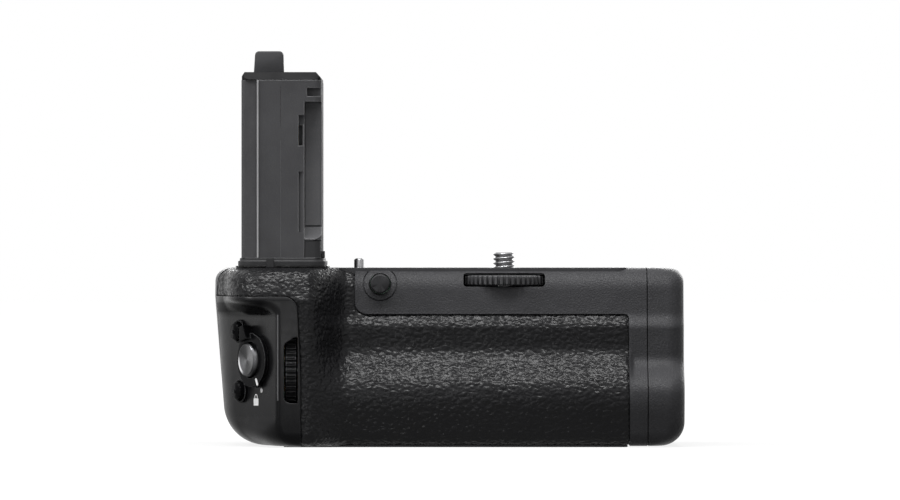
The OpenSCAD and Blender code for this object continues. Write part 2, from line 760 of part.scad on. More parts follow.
// Outline of the tower, shrunk by g
module tower_outline(g) polygon(rounded([tower_x + g, tower_x + tower_w - g],
  [tower_y + g, tower_back - g], max(0.6, 2.2 - g)));

// Recess at the tower's corner, open to the front and to the cap side; its floor slopes forward
module store(g) {
  x = tower_x + tower_w - store_w - g;
  y = tower_y + store_d + g;
  translate([x, 0, 0]) rotate([90, 0, 90]) linear_extrude(store_w + g + 1) polygon([
    [tower_y - 1, store_z[0] - g], [tower_y, store_z[0] - g], [y, store_z[0] + store_slope - g],
    [y, store_z[1] + g], [tower_y - 1, store_z[1] + g]]);
}

// Tower shell, hollow, with the recess for the battery door and the notch over it
module tower_shell() difference() {
  translate([0, 0, plinth_top]) linear_extrude(tower_top - cap_h - plinth_top) tower_outline(0);
  difference() {
    translate([0, 0, plinth_top - 1]) linear_extrude(tower_top - plinth_top) tower_outline(tower_wall);
    store(tower_wall);
  }
  store(0);
  block([tower_x + tower_w - 4.2, tower_y - 1, store_z[1] + 1.5],
    [tower_x + tower_w + 1, tower_y + 1.4, store_z[1] + 4]);
}

// Front half with its raised line, the latch slot and the rail beside the recess
module tower_front() color("#474749") {
  ridge_x = tower_x + 4.3;
  rail_end = rail_x + 1.7;
  difference() {
    intersection() {
      tower_shell();
      between_y(-far, tower_mid - seam/6);
    }
    block([tower_x - 1, tower_y - 1, plinth_top - 1], [ridge_x, tower_y + 0.4, tower_top]);
    block([rail_x, tower_y - 1, slot_top], [rail_end + 1, tower_y + 1.2, slot_top + 2.9]);
    block([rail_x, tower_y - 1, slot_top - 6], [rail_x + 1.3, tower_y + tower_wall + 1, slot_top]);
    translate([0, 0, store_z[0] + 2]) linear_extrude(slot_top - store_z[0] - 15.4) polygon([
      [rail_x, tower_y - 1], [rail_end + 0.5, tower_y - 1], [rail_end, tower_y], [rail_x, tower_y + 0.7]]);
    block([corner_x, tower_y - 1, plinth_top - 1], [far, tower_y + store_d, plinth_top + foot_h]);
    block([tower_x + 11.2, tower_y - 1, slot_top], [tower_x + 11.4, tower_y + 0.2, tower_top - cap_h - 2]);
  }
  translate([0, 0, plinth_top]) linear_extrude(tower_top - cap_h - plinth_top) polygon([
    [ridge_x, tower_y + 0.42], [ridge_x + 0.35, tower_y - 0.25], [ridge_x + 0.7, tower_y - 0.25],
    [ridge_x + 0.7, tower_y + 0.5], [ridge_x, tower_y + 0.5]]);
}

module tower_rear() color("#474749") intersection() {
  tower_shell();
  between_y(tower_mid + seam/6, far);
}

// Cap of the tower with its tongue and contact slots
module tower_cap() color("#222224") difference() {
  union() {
    intersection() {
      translate([0, 0, tower_top - cap_h]) linear_extrude(cap_h) tower_outline(0.1);
      along_x(-far, far) polygon([[tower_y, tower_top - cap_h], [tower_y + 1.8, tower_top],
        [tower_back, tower_top], [tower_back, tower_top - cap_h]]);
      along_y(-far, far) polygon([[tower_x, tower_top - cap_h], [tower_x, tower_top - 1.4],
        [tower_x + 0.9, tower_top], [tower_x + tower_w - 1.6, tower_top],
        [tower_x + tower_w, tower_top - 1.8], [tower_x + tower_w, tower_top - cap_h]]);
    }
    along_y(tower_y + 9, tower_y + 12.4) polygon(concat(
      [[tongue_x, tower_top - eps]],
      [for (a = [180:-15:0]) [tongue_x + tongue_w/2 + (tongue_w/2 - 0.7)*sign(cos(a))
        *pow(abs(cos(a)), 0.4), tower_top + tongue_h - 1.6 + 1.6*pow(sin(a), 0.6)]],
      [[tongue_x + tongue_w, tower_top - eps]]));
  }
  for (i = [0:3]) contact_slot(i, 0);
}

// One contact slot, shrunk by g
module contact_slot(i, g) block(
  [tower_x + 5 + 3.6*i + g, tower_back - 9 + g, tower_top - cap_h - 3],
  [tower_x + 6.6 + 3.6*i - g, tower_back - 4 - g, tower_top - 0.5 + (g > 0 ? 0 : 2)]);
module tower_contacts() color("gold") for (i = [0:3]) contact_slot(i, eps);

// Plinth round the foot of the tower, with a block that fills the corner under the recess
module tower_plinth() color("#3a3a3c") difference() {
  union() {
    translate([0, 0, body_h]) linear_extrude(plinth_h - 0.8) plinth_outline(0);
    translate([0, 0, body_h]) linear_extrude(plinth_h) plinth_outline(0.5);
    translate([0, 0, body_h]) linear_extrude(plinth_h + foot_h - 0.1) intersection() {
      tower_outline(0.1);
      translate([corner_x + 0.1, tower_y]) square([store_w, store_d - 0.1]);
    }
  }
  block([flex_x[0] - 0.6, flex_y - 0.5, body_h - 1], [flex_x[1] + 0.6, flex_y + 0.8, plinth_top + 1]);
}
module plinth_outline(g) polygon(rounded([tower_x - 1 + g, tower_x + tower_w + 1.2 - g],
  [tower_y - 1 + g, tower_back + 0.6 - g], 4.6 - g));

// Catches on the plinth's front and beside the tower
module plinth_clips() color("#3a3a3c") {
  block([tower_x + 7.2, tower_y - 1.7, body_h], [tower_x + 9.4, tower_y - 1 - eps, body_h + plinth_h]);
  block([tower_x + tower_w + eps, tower_y + 3, plinth_top],
    [tower_x + tower_w + 0.9, tower_y + 9, plinth_top + 2]);
}

module plinth_seal() color("#151515") translate([0, 0, body_h]) linear_extrude(0.6) difference() {
  plinth_outline(-0.7);
  plinth_outline(-eps);
  translate([tower_x + 7, tower_y - 3]) square([2.6, 4]);
}

// Ribbon from the tower's contacts down into the body
module tower_flex() color("#8a5a1e") block([flex_x[0], flex_y, flex_z[1] + 0.4],
  [flex_x[1], flex_y + 0.3, tower_top - cap_h]);

// Board, switches and ribbon behind the control flat
module control_board() color("darkgreen") on_flat() translate([0, 0, board_n]) linear_extrude(board_t)
  polygon(rounded([-12, 3.6], [-13, 13], 1));
module control_switches() color("#202020") on_flat() {
  n = board_n + board_t;
  block([-1.5, -1.5, n], [1.5, 1.5, shutter_foot - shutter_travel - switch_gap]);
  for (p = custom_at) block([p[0] - 1.5, p[1] - 1.5, n],
    [p[0] + 1.5, p[1] + 1.5, custom_foot - button_travel - switch_gap]);
}
module control_flex() color("#8a5a1e")
  block([flex_x[0] - 2, tunnel_y - 1.2, flex_z[0]], [main_x[0], tunnel_y - 0.9, flex_z[1]]);

// Guide of the shutter button and bearing of the lever
module shutter_bezel() color("#303032") on_flat() {
  rotate_extrude() polygon([
    [shutter_stem + play, bezel_foot], [bezel_flange, bezel_foot], [bezel_flange, -wall - 0.1],
    [bezel_out, -wall - 0.1], [bezel_out, -0.3], [bezel_in, -0.3], [bezel_in, bezel_foot + 1],
    [shutter_stem + play, bezel_foot + 1]]);
  for (v = [-6, 6]) translate([2.2, v, board_n + board_t])
    cylinder(r = 0.9, h = bezel_foot + eps - board_n - board_t);
}

module button_collars() color("#1d1d1f") on_flat() for (p = custom_at) translate(p) difference() {
  cylinder(r = custom_r + 0.8, h = 0.8);
  translate([0, 0, -1]) cylinder(r = custom_r + free, h = 3);
}

// Shutter button: dished face, skirt and stem
module shutter_button() color("#4a4a4c") on_flat() rotate_extrude() polygon([
  [0, shutter_foot], [shutter_stem, shutter_foot], [shutter_stem, -1.4], [shutter_r, -1.4],
  [shutter_r, shutter_h - 0.5], [shutter_r - 0.5, shutter_h], [shutter_r*0.55, shutter_h - 0.25],
  [0, shutter_h - 0.4]]);

// Lever ring with its finger tab and index lobe
module lock_lever() color("#18181a") on_flat() difference() {
  union() {
    translate([0, 0, 0.3]) cylinder(r = lever_r, h = lever_top - 0.3);
    translate([1.5, 0, 0.3]) cylinder(r = lever_r - 0.4, h = lever_top - 0.3);
    translate([0, 0, -2.4]) cylinder(r = bezel_in - play, h = 3.2);
    rotate(lever_tab) translate([0, 0, 0.3]) linear_extrude(2.9)
      polygon([[lever_r - 2, -2.2], [lever_r + 2.2, -1], [lever_r + 2.2, 1], [lever_r - 2, 2.2]]);
    rotate(lever_index) translate([0, 0, 0.3]) linear_extrude(lever_top - 0.3)
      polygon([[lever_r - 1.5, -2.6], [lever_r + 0.9, -0.9], [lever_r + 0.9, 0.9], [lever_r - 1.5, 2.6]]);
  }
  translate([0, 0, -4]) cylinder(r = lever_in, h = 12);
}

// Round buttons beside the shutter button
module custom_button(p) color("#1b1b1d") on_flat() translate(p) rotate_extrude() polygon([
  [0, custom_foot], [custom_r + 0.5, custom_foot], [custom_r + 0.5, custom_foot + 0.8],
  [custom_r, custom_foot + 0.8], [custom_r, 1.9], [custom_r - 0.4, 2.3], [0.9, 2.3], [0.6, 2.6],
  [0, 2.65]]);
module custom_button_upper() custom_button(custom_at[0]);
module custom_button_lower() custom_button(custom_at[1]);

// Dial with its axis along X
module dial(r, w, x, y, z) difference() {
  translate([x - w/2, y, z]) rotate([0, 90, 0]) ribbed(r, w, dial_ridges, 0.4);
  rod_x(axle_r + play, x - w, x + w, y, z);
}
module front_dial() color("#19191a")
  dial(front_dial_r, front_dial_w, front_dial_x, front_dial_y, front_dial_z);
module rear_dial() color("#19191a") dial(rear_dial_r, rear_dial_w, rear_dial_x, rear_dial_y, rear_dial_z);
module front_dial_axle() color("silver") rod_x(axle_r - eps, front_dial_x - front_dial_w/2 - 0.3,
  frame_at[0] + frame_t, front_dial_y, front_dial_z);
module rear_dial_axle() color("silver")
  rod_x(axle_r - eps, rear_dial_x - rear_dial_w/2 - 0.4, tunnel_x + 0.5, rear_dial_y, rear_dial_z);

// Front button and the switch behind it
module front_button() color("#1b1b1d") translate([button_x, strip_y - 1.2, button_z]) rotate([-90, 0, 0]) {
  r = front_button_r;
  foot = front_foot_y - strip_y + 1.2;
  rotate_extrude() polygon([[0, 0.1], [r - 0.4, 0], [r, 0.4], [r, foot - 0.4], [1.2, foot - 0.4],
    [1.2, foot], [0, foot]]);
}
module front_switch_board() color("darkgreen") {
  x = around(button_x, 5);
  y = front_board_y - 0.8;
  block([x[0], y, button_z - 7], [x[1], front_board_y, deck_z - 0.3]);
  block([button_x - 1.5, front_foot_y + button_travel + switch_gap, button_z - 1.5],
    [button_x + 1.5, y + eps, button_z + 1.5]);
}

// Board and switches of the rear controls
module rear_board() color("darkgreen") block([rear_board_x[0], tunnel_back, rear_board_z[0]],
  [rear_board_x[1], rear_board_y, rear_board_z[1]]);
module rear_switches() color("#202020") for (x = rear_button_at)
  block([x - 1.5, rear_board_y, rear_button_z - 1.5],
    [x + 1.5, rear_button_y - button_travel - switch_gap, rear_button_z + 1.5]);

// Rear push button at x
module rear_button(x) color("#1b1b1d") translate([x, rear_button_y, rear_button_z]) rotate([-90, 0, 0]) {
  r = rear_button_r;
  top = rear_y + 1.4 - rear_button_y;
  rotate_extrude() polygon([[0, 0], [r + 0.7, 0], [r + 0.7, 0.6], [r, 0.6], [r, top], [r - 0.4, top + 0.4],
    [0, top + 0.6]]);
}
module af_button() rear_button(rear_button_at[0]);
module hold_button() rear_button(rear_button_at[1]);

// Joystick: cup, gimbal ring and stick
module joystick_base() color("#303032") translate([stick_x, stick_y, stick_z]) difference() {
  rod_y(4.9, rear_board_y - stick_y, 0.7, 0, 0);
  rod_y(3.9, rear_board_y + 0.6 - stick_y, 3, 0, 0);
  rod_x(stick_pin + play, -6, 6, 0, 0);
}
module joystick_gimbal() color("silver") translate([stick_x, stick_y, stick_z]) {
  difference() {
    rod_y(3.3, -0.65, 0.65, 0, 0);
    rod_y(2.3, -2, 2, 0, 0);
    translate([0, 0, -4]) cylinder(r = stick_pin + play, h = 8);
  }
  rod_x(stick_pin, 2.9, 4.6, 0, 0);
  rod_x(stick_pin, -4.6, -2.9, 0, 0);
}
module joystick_cap() color("#1b1b1d") translate([stick_x, stick_y, stick_z]) {
  top = body_d/2 - stick_y;
  rotate([-90, 0, 0]) rotate_extrude() polygon([[0, -1.1], [1.7, -1.1], [1.7, 1.1], [1.2, 1.4],
    [1.2, top - 2.6], [stick_r, top - 2.6], [stick_r, top - 0.9], [stick_r - 0.8, top],
    [stick_r*0.6, top - 0.3], [0, top - 0.7]]);
  translate([0, 0, -2.9]) cylinder(r = stick_pin, h = 5.8);
}

// Main board on the tunnel's front, with its chips
module main_board() color("darkgreen")
  block([main_x[0], main_y - 1, main_z[0]], [main_x[1], main_y, main_z[1]]);
module board_chips() color("#202020") for (c = [[0.13, 4, 1.6], [0.38, 9, 1.2], [0.71, 6, 1]]) {
  x = main_x[0] + c[0]*(main_x[1] - main_x[0]);
  z = (main_z[0] + main_z[1])/2;
  block([x - c[1]/2, main_y - 1 - c[2], z - 4], [x + c[1]/2, main_y - 1, z + 4]);
}

chassis();
bulkheads();
front_cover();
grip_skin();
control_panel();
rear_cover();
thumb_skin();
top_plate();
bottom_plate();
tripod_bush();
screw_bush();
locating_pin();
tower_front();
tower_rear();
tower_cap();
tower_contacts();
tower_plinth();
plinth_clips();
plinth_seal();
tower_flex();
control_board();
control_switches();
control_flex();
shutter_bezel();
button_collars();
front_dial_axle();
front_switch_board();
rear_board();
rear_switches();
joystick_base();
rear_dial_axle();
bay_contact_block();
bay_contacts();
main_board();
board_chips();
base_screws();
plate_screws();
attachment_dial();
camera_screw();
shutter_button();
lock_lever();
custom_button_upper();
custom_button_lower();
front_dial();
front_button();
af_button();
hold_button();
joystick_gimbal();
joystick_cap();
rear_dial();
battery_tray();
tray_cap();
tray_contacts();
tray_seal();
tray_latch();
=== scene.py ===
import json
import math

import bmesh
import bpy
import numpy as np
from mathutils import Matrix, Vector, noise


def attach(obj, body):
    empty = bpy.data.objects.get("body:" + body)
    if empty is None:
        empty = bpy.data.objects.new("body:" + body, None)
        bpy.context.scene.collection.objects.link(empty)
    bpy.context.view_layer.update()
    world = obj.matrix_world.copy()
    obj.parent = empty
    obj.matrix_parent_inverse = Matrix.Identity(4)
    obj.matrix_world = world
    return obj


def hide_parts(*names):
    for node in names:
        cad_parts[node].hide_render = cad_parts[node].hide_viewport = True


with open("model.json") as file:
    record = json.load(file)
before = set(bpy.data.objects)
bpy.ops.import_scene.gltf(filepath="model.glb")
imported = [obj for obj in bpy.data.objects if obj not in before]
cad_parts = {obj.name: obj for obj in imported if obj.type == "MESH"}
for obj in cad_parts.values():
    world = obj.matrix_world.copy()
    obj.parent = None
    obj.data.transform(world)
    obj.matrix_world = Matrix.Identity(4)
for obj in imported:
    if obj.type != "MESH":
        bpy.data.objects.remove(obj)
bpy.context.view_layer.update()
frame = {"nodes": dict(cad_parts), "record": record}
nodes = frame["nodes"]
body_of = {n: b for b, members in frame["record"]["behaviour"]["bodies"].items() for n in members}
slot_of = {s["node"]: s["material_slot"] for s in frame["record"]["subparts"]}
scene = bpy.context.scene

# Sizes are in millimetres: x along the grip, y to its back, z up from the base
MM = 0.001
FAR = 120.0

# Walls, gaps and the spacing of points
WALL, SKIN, BED = 2.8, 1.0, 0.05
SEAM, FREE, PLAY = 0.3, 0.3, 0.05
FINE = 0.32
PAD_FINE = 0.6
ROUGH = 2.0

# Main faces of the body
HEAD_X, CAP_X, BODY_H = -67.2, 67.2, 51.4
HEAD_Y, STRIP_Y, BULGE_Y, REAR_Y, PART_Y = -31.6, -15.6, -26.6, 24.4, 2.0
JOINT_X, SEAM_X = 55.35, 56.6
BAND_X, BAND_STEP, BAND_R, BAND_LEAN = CAP_X - 16, 1.6, 1.2, 0.6
BASE_GAP, LAP_IN, LAP_FREE, CAP_WALL = 0.3, 9.0, 0.15, 2.0

# Radii of its edges
CORNER_R, NAPE_R, LEAST_R = 5.0, 8.0, 0.8
TOP_R, EDGE_R, END_R, HEEL_R = 4.0, 4.0, 7.0, 11.0
BRIM_R, HEAD_BRIM_R, BROW_R = 6.5, 3.5, 1.1

# Head: the facet with the shutter controls, its lip above and its heel below
FACET = 60.0
BROW_X, FLANK_X, FLANK_W = -49.4, -41.0, 12.0
LIP_Z, FLAT_Z, LIP_OUT, LIP_RISE = 43.3, 37.5, 8.0, 5.0
HEEL_OUT, HEEL_TOP, HEEL_H = 2.0, 9.0, 7.0
LEAN_Z, HEAD_LEAN, HEAD_OUT, TAPER = LIP_Z - 1, 4.6, 1.1, 3.6
NOSE_END, NOSE_SKEW, SIDE_TURN, SIDE_PULL = 0.78, 0.85, 7.0, 0.2
PANEL_X, PANEL_R, PANEL_EDGE = BROW_X + 1.8, 4.0, [(FLANK_X - 1.7, 20.0), (FLANK_X - 1.2, -FAR)]

# Front: leaning strip, ledge under it, bulge for the fingers, belly at the foot
STRIP_X, STRIP_LOW, STRIP_H, STRIP_R, LEAN = HEAD_X + 39.7, 38.0, 13.4, 3.5, 2.2
LEDGE, LEDGE_H, LEDGE_LAP = 2.1, 4.6, 0.5
BULGE_TOP, BULGE_RISE, BULGE_FALL = 30.2, 6.2, 12.0
CAP_DROP, CAP_RISE, CAP_FALL = 3.3, 5.045, 7.71
BELLY, BELLY_TOP = 2.2, 14.0

# Back: thumb rest and its pad
THUMB_X, THUMB_Z, THUMB_R, THUMB_OUT = HEAD_X + 25.2, 24.0, 22.0, 4.0
PAD_X, PAD_Z, PAD_R = (HEAD_X + 6.5, HEAD_X + 43), (4.6, 21.0), 5.0

# Openings for the top plate, the base plate and the tray's tunnel
SEAT_X, SEAT_Y, SEAT_Z, SEAT_R = (-61.6, 50.85), (-10.6, 19.7), 46.4, 3.0
FORE_X, FORE_Y, FORE_R = -35.2, -20.6, 5.5
BASE_X, BASE_Y, BASE_TOP, BASE_R = (-47.8, 50.85), (-21.4, 19.2), 4.3, 2.0
TUNNEL_X, TUNNEL_Y, TUNNEL_Z = -52.2, (-7.9, 18.8), (2.1, 9.0)

# Controls
SHUTTER, LEVER_R, LEVER_TOP = Vector((-56.2, -19.8221, 25.0)), 7.1, 1.5
CUSTOM_AT, CUSTOM_R = ((-8.4, 8.1), (-7.4, -9.0)), 2.6
FLAT_CUT = 6.0
FRONT_DIAL, FRONT_DIAL_R = Vector((-45.5, -21, 22.2)), 11.0
REAR_DIAL, REAR_DIAL_R, REAR_SLOT = Vector((-55.4, 17.1, 31.4)), 9.5, (2.0, 9.0)
DIAL_W, DIAL_BORE, DIAL_RIBS, DIAL_RIB = 3.4, 1.55, 40, 0.45
DIAL_SLOT = [(-43.5, 12.7), (-43.5, 31.7), (-44.6, 31.6), (-47.2, 29.8), (-47.5, 29.2), (-47.5, 14.0),
             (-47.0, 13.2), (-45.6, 12.7)]
BUTTON_X, BUTTON_Z, BUTTON_R, BUTTON_DEEP, RIM_W, RIM_DEEP = -20.2, 46.8, 2.75, 8.0, 0.55, 0.7
BOSS_R, BOSS_OUT, BOSS_DEEP = 4.6, 0.3, 6.5
GROOVE_R, GROOVE, GROOVE_DEEP = 5.0, 0.45, 6.0
REAR_BUTTON_X, REAR_BUTTON_Z, REAR_BUTTON_R = (-33.0, -21.0), 41.0, 3.2
STICK_X, STICK_Z, STICK_R = -44.0, 30.0, 3.0
LATCH_Y, LATCH_W, LATCH_Z, LATCH_DEEP = 5.45, 5.0, (25.0, 37.0), 3.8

# Camera screw, with twenty threads to the inch, and its dial
SCREW_X, SCREW_Y, SCREW_R, SCREW_LOW, SCREW_TOP = 15.5, -3.5, 3.15, 46.0, 55.8
PITCH, THREAD, JOURNAL_R, SCREW_SIDES = 1.27, 0.72, 3.4, 72
ATTACH_R, ATTACH_W, ATTACH_LOW, ATTACH_RIBS, ATTACH_RIB = 13.0, 2.9, 46.3, 50, 0.95
ATTACH_SLOT_W, ATTACH_SLOT_Z = 11.75, (45.9, 49.9)

# Tower
TOWER_TOP, TOWER_SEAM_Y, TOWER_SEAM_Z = 107.6, -0.2, (54.6, 103.0)
TONGUE_X, TONGUE_Y, TONGUE_H, TONGUE_R = (-56.3, -48.1), (-10.2, -6.8), 6.2, 1.2

# Plane of the shutter controls: u and v on the facet, w out of it
FLAT = (Matrix.Translation(SHUTTER) @ Matrix.Rotation(math.radians(-FACET), 4, "Z")
        @ Matrix.Rotation(math.radians(90), 4, "X"))

# About how long each stretch of the outline is, and the round edge above it, which sets the number of points
LONG = {"corner": 8, "front": 91, "flank": 16, "brow": 8.4, "turn": 3, "nose": 18, "side": 9, "left": 14,
        "rear": 120, "right": 36, "edge": 5}
COARSE = 1.2


def smooth(t):
    s = np.clip(t, 0, 1)
    return s * s * (3 - 2 * s)


def swell(h, a, b):
    """Rise from 0 to 1 along h: its slope grows over a and then falls away over b."""
    u, v = np.clip(h / a, 0, 1), np.clip((h - a) / b, 0, 1)
    return (a * (u ** 3 - u ** 4 / 2) + b * (v - v ** 3 + v ** 4 / 2)) * 2 / (a + b)


def hill(t):
    return np.where(np.abs(t) >= 1, 0, np.cos(np.pi / 2 * t) ** 2)


def edge_in(r, t):
    return 0 if t <= 0 else r - math.sqrt(max(0, r * r - min(t, r) ** 2))


def inset(z, d, r, top=TOP_R):
    return d + edge_in(top - d, z - BODY_H + top) + edge_in(r - d, BASE_GAP + r - z)


def front_y(z, drop=0, rise=BULGE_RISE, fall=BULGE_FALL):
    """Front of the grip at height z, with its bulge lower by drop."""
    return (STRIP_Y + LEAN * max(0, z - STRIP_LOW) / STRIP_H
            - LEDGE * smooth((STRIP_LOW + LEDGE_LAP - z) / LEDGE_H)
            + (BULGE_Y - STRIP_Y + LEDGE) * swell(BULGE_TOP - drop - z, rise, fall)
            + BELLY * smooth((BELLY_TOP - z) / BELLY_TOP))


def thumb(x, z):
    return THUMB_OUT * hill((x - THUMB_X) / THUMB_R) * hill((z - THUMB_Z) / THUMB_R)


def brow(z):
    return LIP_OUT * smooth((z - FLAT_Z) / LIP_RISE) + HEEL_OUT * smooth((HEEL_TOP - z) / HEEL_H)


def count(length, step, least=3):
    return max(least, int(round(length / step)))


def bent(t, a, b, c):
    """Points at t on the curve from a to c that is drawn towards b."""
    return (1 - t) ** 2 * a + 2 * t * (1 - t) * b + t * t * c


def outline(z, d, step):
    """Plan outline of the form at height z, shrunk by d, with points about step apart."""
    lean = HEAD_LEAN * max(0, z - LEAN_Z) / (BODY_H - LEAN_Z)
    facet_in = inset(z, d, (HEEL_R + EDGE_R) / 2, HEAD_BRIM_R) + lean / 2
    brim = inset(z, d, EDGE_R, BRIM_R)
    xl = HEAD_X - HEAD_OUT + TAPER * max(0, LIP_Z - z) / LIP_Z + inset(z, d, HEEL_R)
    xr = CAP_X - inset(z, d, END_R)
    yf, yc = front_y(z) + brim, front_y(z, CAP_DROP, CAP_RISE, CAP_FALL) + brim
    yh, yr = HEAD_Y + inset(z, d, EDGE_R, HEAD_BRIM_R) + lean, REAR_Y - inset(z, d, EDGE_R)
    rc, rn = max(LEAST_R, CORNER_R - d), max(LEAST_R, NAPE_R - d)

    # The facet's line, from the brow b to the left side k
    n = np.array([-math.sin(math.radians(FACET)), -math.cos(math.radians(FACET))])
    c = n[0] * BROW_X + n[1] * HEAD_Y - facet_in
    b = np.array([(c - n[1] * yh) / n[0], yh])
    k = np.array([xl, (c - n[0] * xl) / n[1]])

    def nose(s):
        """Facet's line swollen by the brow, whose full height 27 / 4 brings to 1."""
        t = np.asarray(s, float)[:, None]
        skewed = t ** NOSE_SKEW
        return b + t * (k - b) + n * brow(z) * 27 / 4 * skewed * (1 - skewed) ** 2

    def share(stretch, apart=step, least=3):
        return np.linspace(0, 1, count(LONG[stretch], apart, least))[:, None]

    rough = max(step, COARSE)
    arc = np.radians(np.linspace(0, 90, count(LONG["corner"], step)))
    run = np.linspace(xr - rc, FLANK_X + FLANK_W, count(LONG["front"], step))[1:-1]
    flank = np.linspace(FLANK_X + FLANK_W, FLANK_X, count(LONG["flank"], step))
    flank_pts = np.stack([flank, yf + (yh - yf) * smooth((FLANK_X + FLANK_W - flank) / FLANK_W)], 1)
    brow_at = BROW_R / np.linalg.norm(k - b)
    brow_start, brow_end = b + np.array([BROW_R, 0]), nose([brow_at])[0]
    side_pull, side_end = np.array([xl, k[1] + SIDE_PULL * brow(z) * n[1]]), np.array([xl, k[1] + SIDE_TURN])
    rear = np.linspace(xl + rn, xr - rc, count(LONG["rear"], rough))[1:-1]
    return np.concatenate([
        np.stack([xr - rc + rc * np.cos(arc), yc + rc - rc * np.sin(arc)], 1),
        np.stack([run, yf + (yc - yf) * smooth((run - BAND_X) / BAND_STEP)], 1),
        flank_pts,
        flank_pts[-1] + share("brow")[1:-1] * (brow_start - flank_pts[-1]),
        bent(share("turn", least=6), brow_start, b, brow_end),
        nose(np.linspace(brow_at, NOSE_END, count(LONG["nose"], step))[1:]),
        bent(share("side")[1:], nose([NOSE_END])[0], side_pull, side_end),
        side_end + share("left", rough)[1:-1] * (np.array([xl, yr - rn]) - side_end),
        np.stack([xl + rn - rn * np.cos(arc), yr - rn + rn * np.sin(arc)], 1),
        np.stack([rear, yr + thumb(rear, z)], 1),
        np.stack([xr - rc + rc * np.sin(arc), yr - rc + rc * np.cos(arc)], 1),
        np.array([xr, yr - rc]) + share("right", rough)[1:-1] * np.array([0, yc + rc - yr + rc]),
    ])


def levels(d, step):
    """Heights of the outlines, close together where the edges are round."""
    arc = np.radians(np.linspace(0, 90, count(LONG["edge"], step, 4)))
    lo, hi = BASE_GAP + EDGE_R, BODY_H - TOP_R
    middle = np.linspace(lo, hi, count(hi - lo, step, 4))[1:-1]
    return np.concatenate([lo - (EDGE_R - d) * np.cos(arc), middle, hi + (TOP_R - d) * np.sin(arc)])


# Meshes are made in millimetres and scaled to metres when a piece is done
scratch = []


def mesh_object(name, verts, faces):
    mesh = bpy.data.meshes.new(name)
    mesh.from_pydata([tuple(v) for v in verts], [], [tuple(f) for f in faces])
    bm = bmesh.new()
    bm.from_mesh(mesh)
    bmesh.ops.recalc_face_normals(bm, faces=bm.faces)
    bm.to_mesh(mesh)
    bm.free()
    ob = bpy.data.objects.new(name, mesh)
    scene.collection.objects.link(ob)
    return ob


def tool(verts, faces):
    """Cutter, which is deleted at the end."""
    ob = mesh_object("cutter", verts, faces)
    scratch.append(ob)
    return ob


def kept(ob, name):
    """Make a cutter a piece of its own."""
    scratch.remove(ob)
    ob.name = name
    return ob


def loft(rings):
    """Faces of a closed stack of rings, capped at both ends."""
    m, n = len(rings), len(rings[0])
    i, k = np.meshgrid(np.arange(n), np.arange(m - 1))
    a, b = k * n + i, k * n + (i + 1) % n
    quads = np.stack([a, b, b + n, a + n], -1).reshape(-1, 4).tolist()
    return quads + [list(range(n))[::-1], list(range((m - 1) * n, m * n))]


def grid_normals(g):
    along = np.roll(g, -1, 1) - np.roll(g, 1, 1)
    up = np.gradient(g, axis=0)
    normal = np.cross(along, up)
    return normal / np.maximum(np.linalg.norm(normal, axis=2, keepdims=True), 1e-9)


def form(d, step, relief=None):
    """The whole body as a solid, shrunk by d."""
    zs = levels(d, step)
    rings = [outline(z, d, step) for z in zs]
    g = np.array([np.column_stack([r, np.full(len(r), z)]) for r, z in zip(rings, zs)])
    if relief is not None:
        normal = grid_normals(g)
        middle = g.mean((0, 1))
        if np.mean(np.sum(normal * (g - middle), 2)) < 0:
            normal = -normal
        g = g + normal * relief(g)[..., None]
    return tool(g.reshape(-1, 3), loft(g))


def prism(points, lo, hi, axis):
    """Outline made solid from lo to hi along an axis. Its points have the other two of x, y and z."""
    def place(p, h):
        return {"Y": (p[0], h, p[1]), "Z": (p[0], p[1], h), "X": (h, p[0], p[1])}[axis]
    n = len(points)
    verts = [place(p, lo) for p in points] + [place(p, hi) for p in points]
    faces = [[i, (i + 1) % n, n + (i + 1) % n, n + i] for i in range(n)]
    return tool(verts, faces + [list(range(n))[::-1], list(range(n, 2 * n))])


def block(p, q):
    return prism([(p[0], p[1]), (q[0], p[1]), (q[0], q[1]), (p[0], q[1])], p[2], q[2], "Z")


def disc(x, y, r, n=96):
    return [(x + r * math.cos(2 * math.pi * i / n), y + r * math.sin(2 * math.pi * i / n)) for i in range(n)]


def quarter(centre, r, start):
    """Quarter of a circle, from the angle start."""
    angles = [math.radians(start + 9 * i) for i in range(11)]
    return [(centre[0] + r * math.cos(a), centre[1] + r * math.sin(a)) for a in angles]


def rounded(x, y, r):
    return (quarter((x[1] - r, y[1] - r), r, 0) + quarter((x[0] + r, y[1] - r), r, 90)
            + quarter((x[0] + r, y[0] + r), r, 180) + quarter((x[1] - r, y[0] + r), r, 270))


def around(at, half):
    return at - half, at + half


def grown(span, by):
    return span[0] - by, span[1] + by


def shifted(path, d):
    """Path moved by d to its left."""
    p = np.array(path)
    t = np.gradient(p, axis=0)
    t[0], t[-1] = p[1] - p[0], p[-1] - p[-2]
    t /= np.linalg.norm(t, axis=1, keepdims=True)
    return [tuple(v) for v in p + d * np.column_stack([-t[:, 1], t[:, 0]])]


def combine(ob, operation, *others):
    """Apply the object's modifiers, and then cut, join or cross it with the others."""
    for other in others:
        mod = ob.modifiers.new("cut", "BOOLEAN")
        mod.operation, mod.solver, mod.object = operation, "MANIFOLD", other
    bpy.context.view_layer.update()
    mesh = bpy.data.meshes.new_from_object(ob.evaluated_get(bpy.context.evaluated_depsgraph_get()))
    ob.modifiers.clear()
    ob.data = mesh
    return ob


def copy_of(ob, name):
    new = bpy.data.objects.new(name, ob.data.copy())
    scene.collection.objects.link(new)
    return new


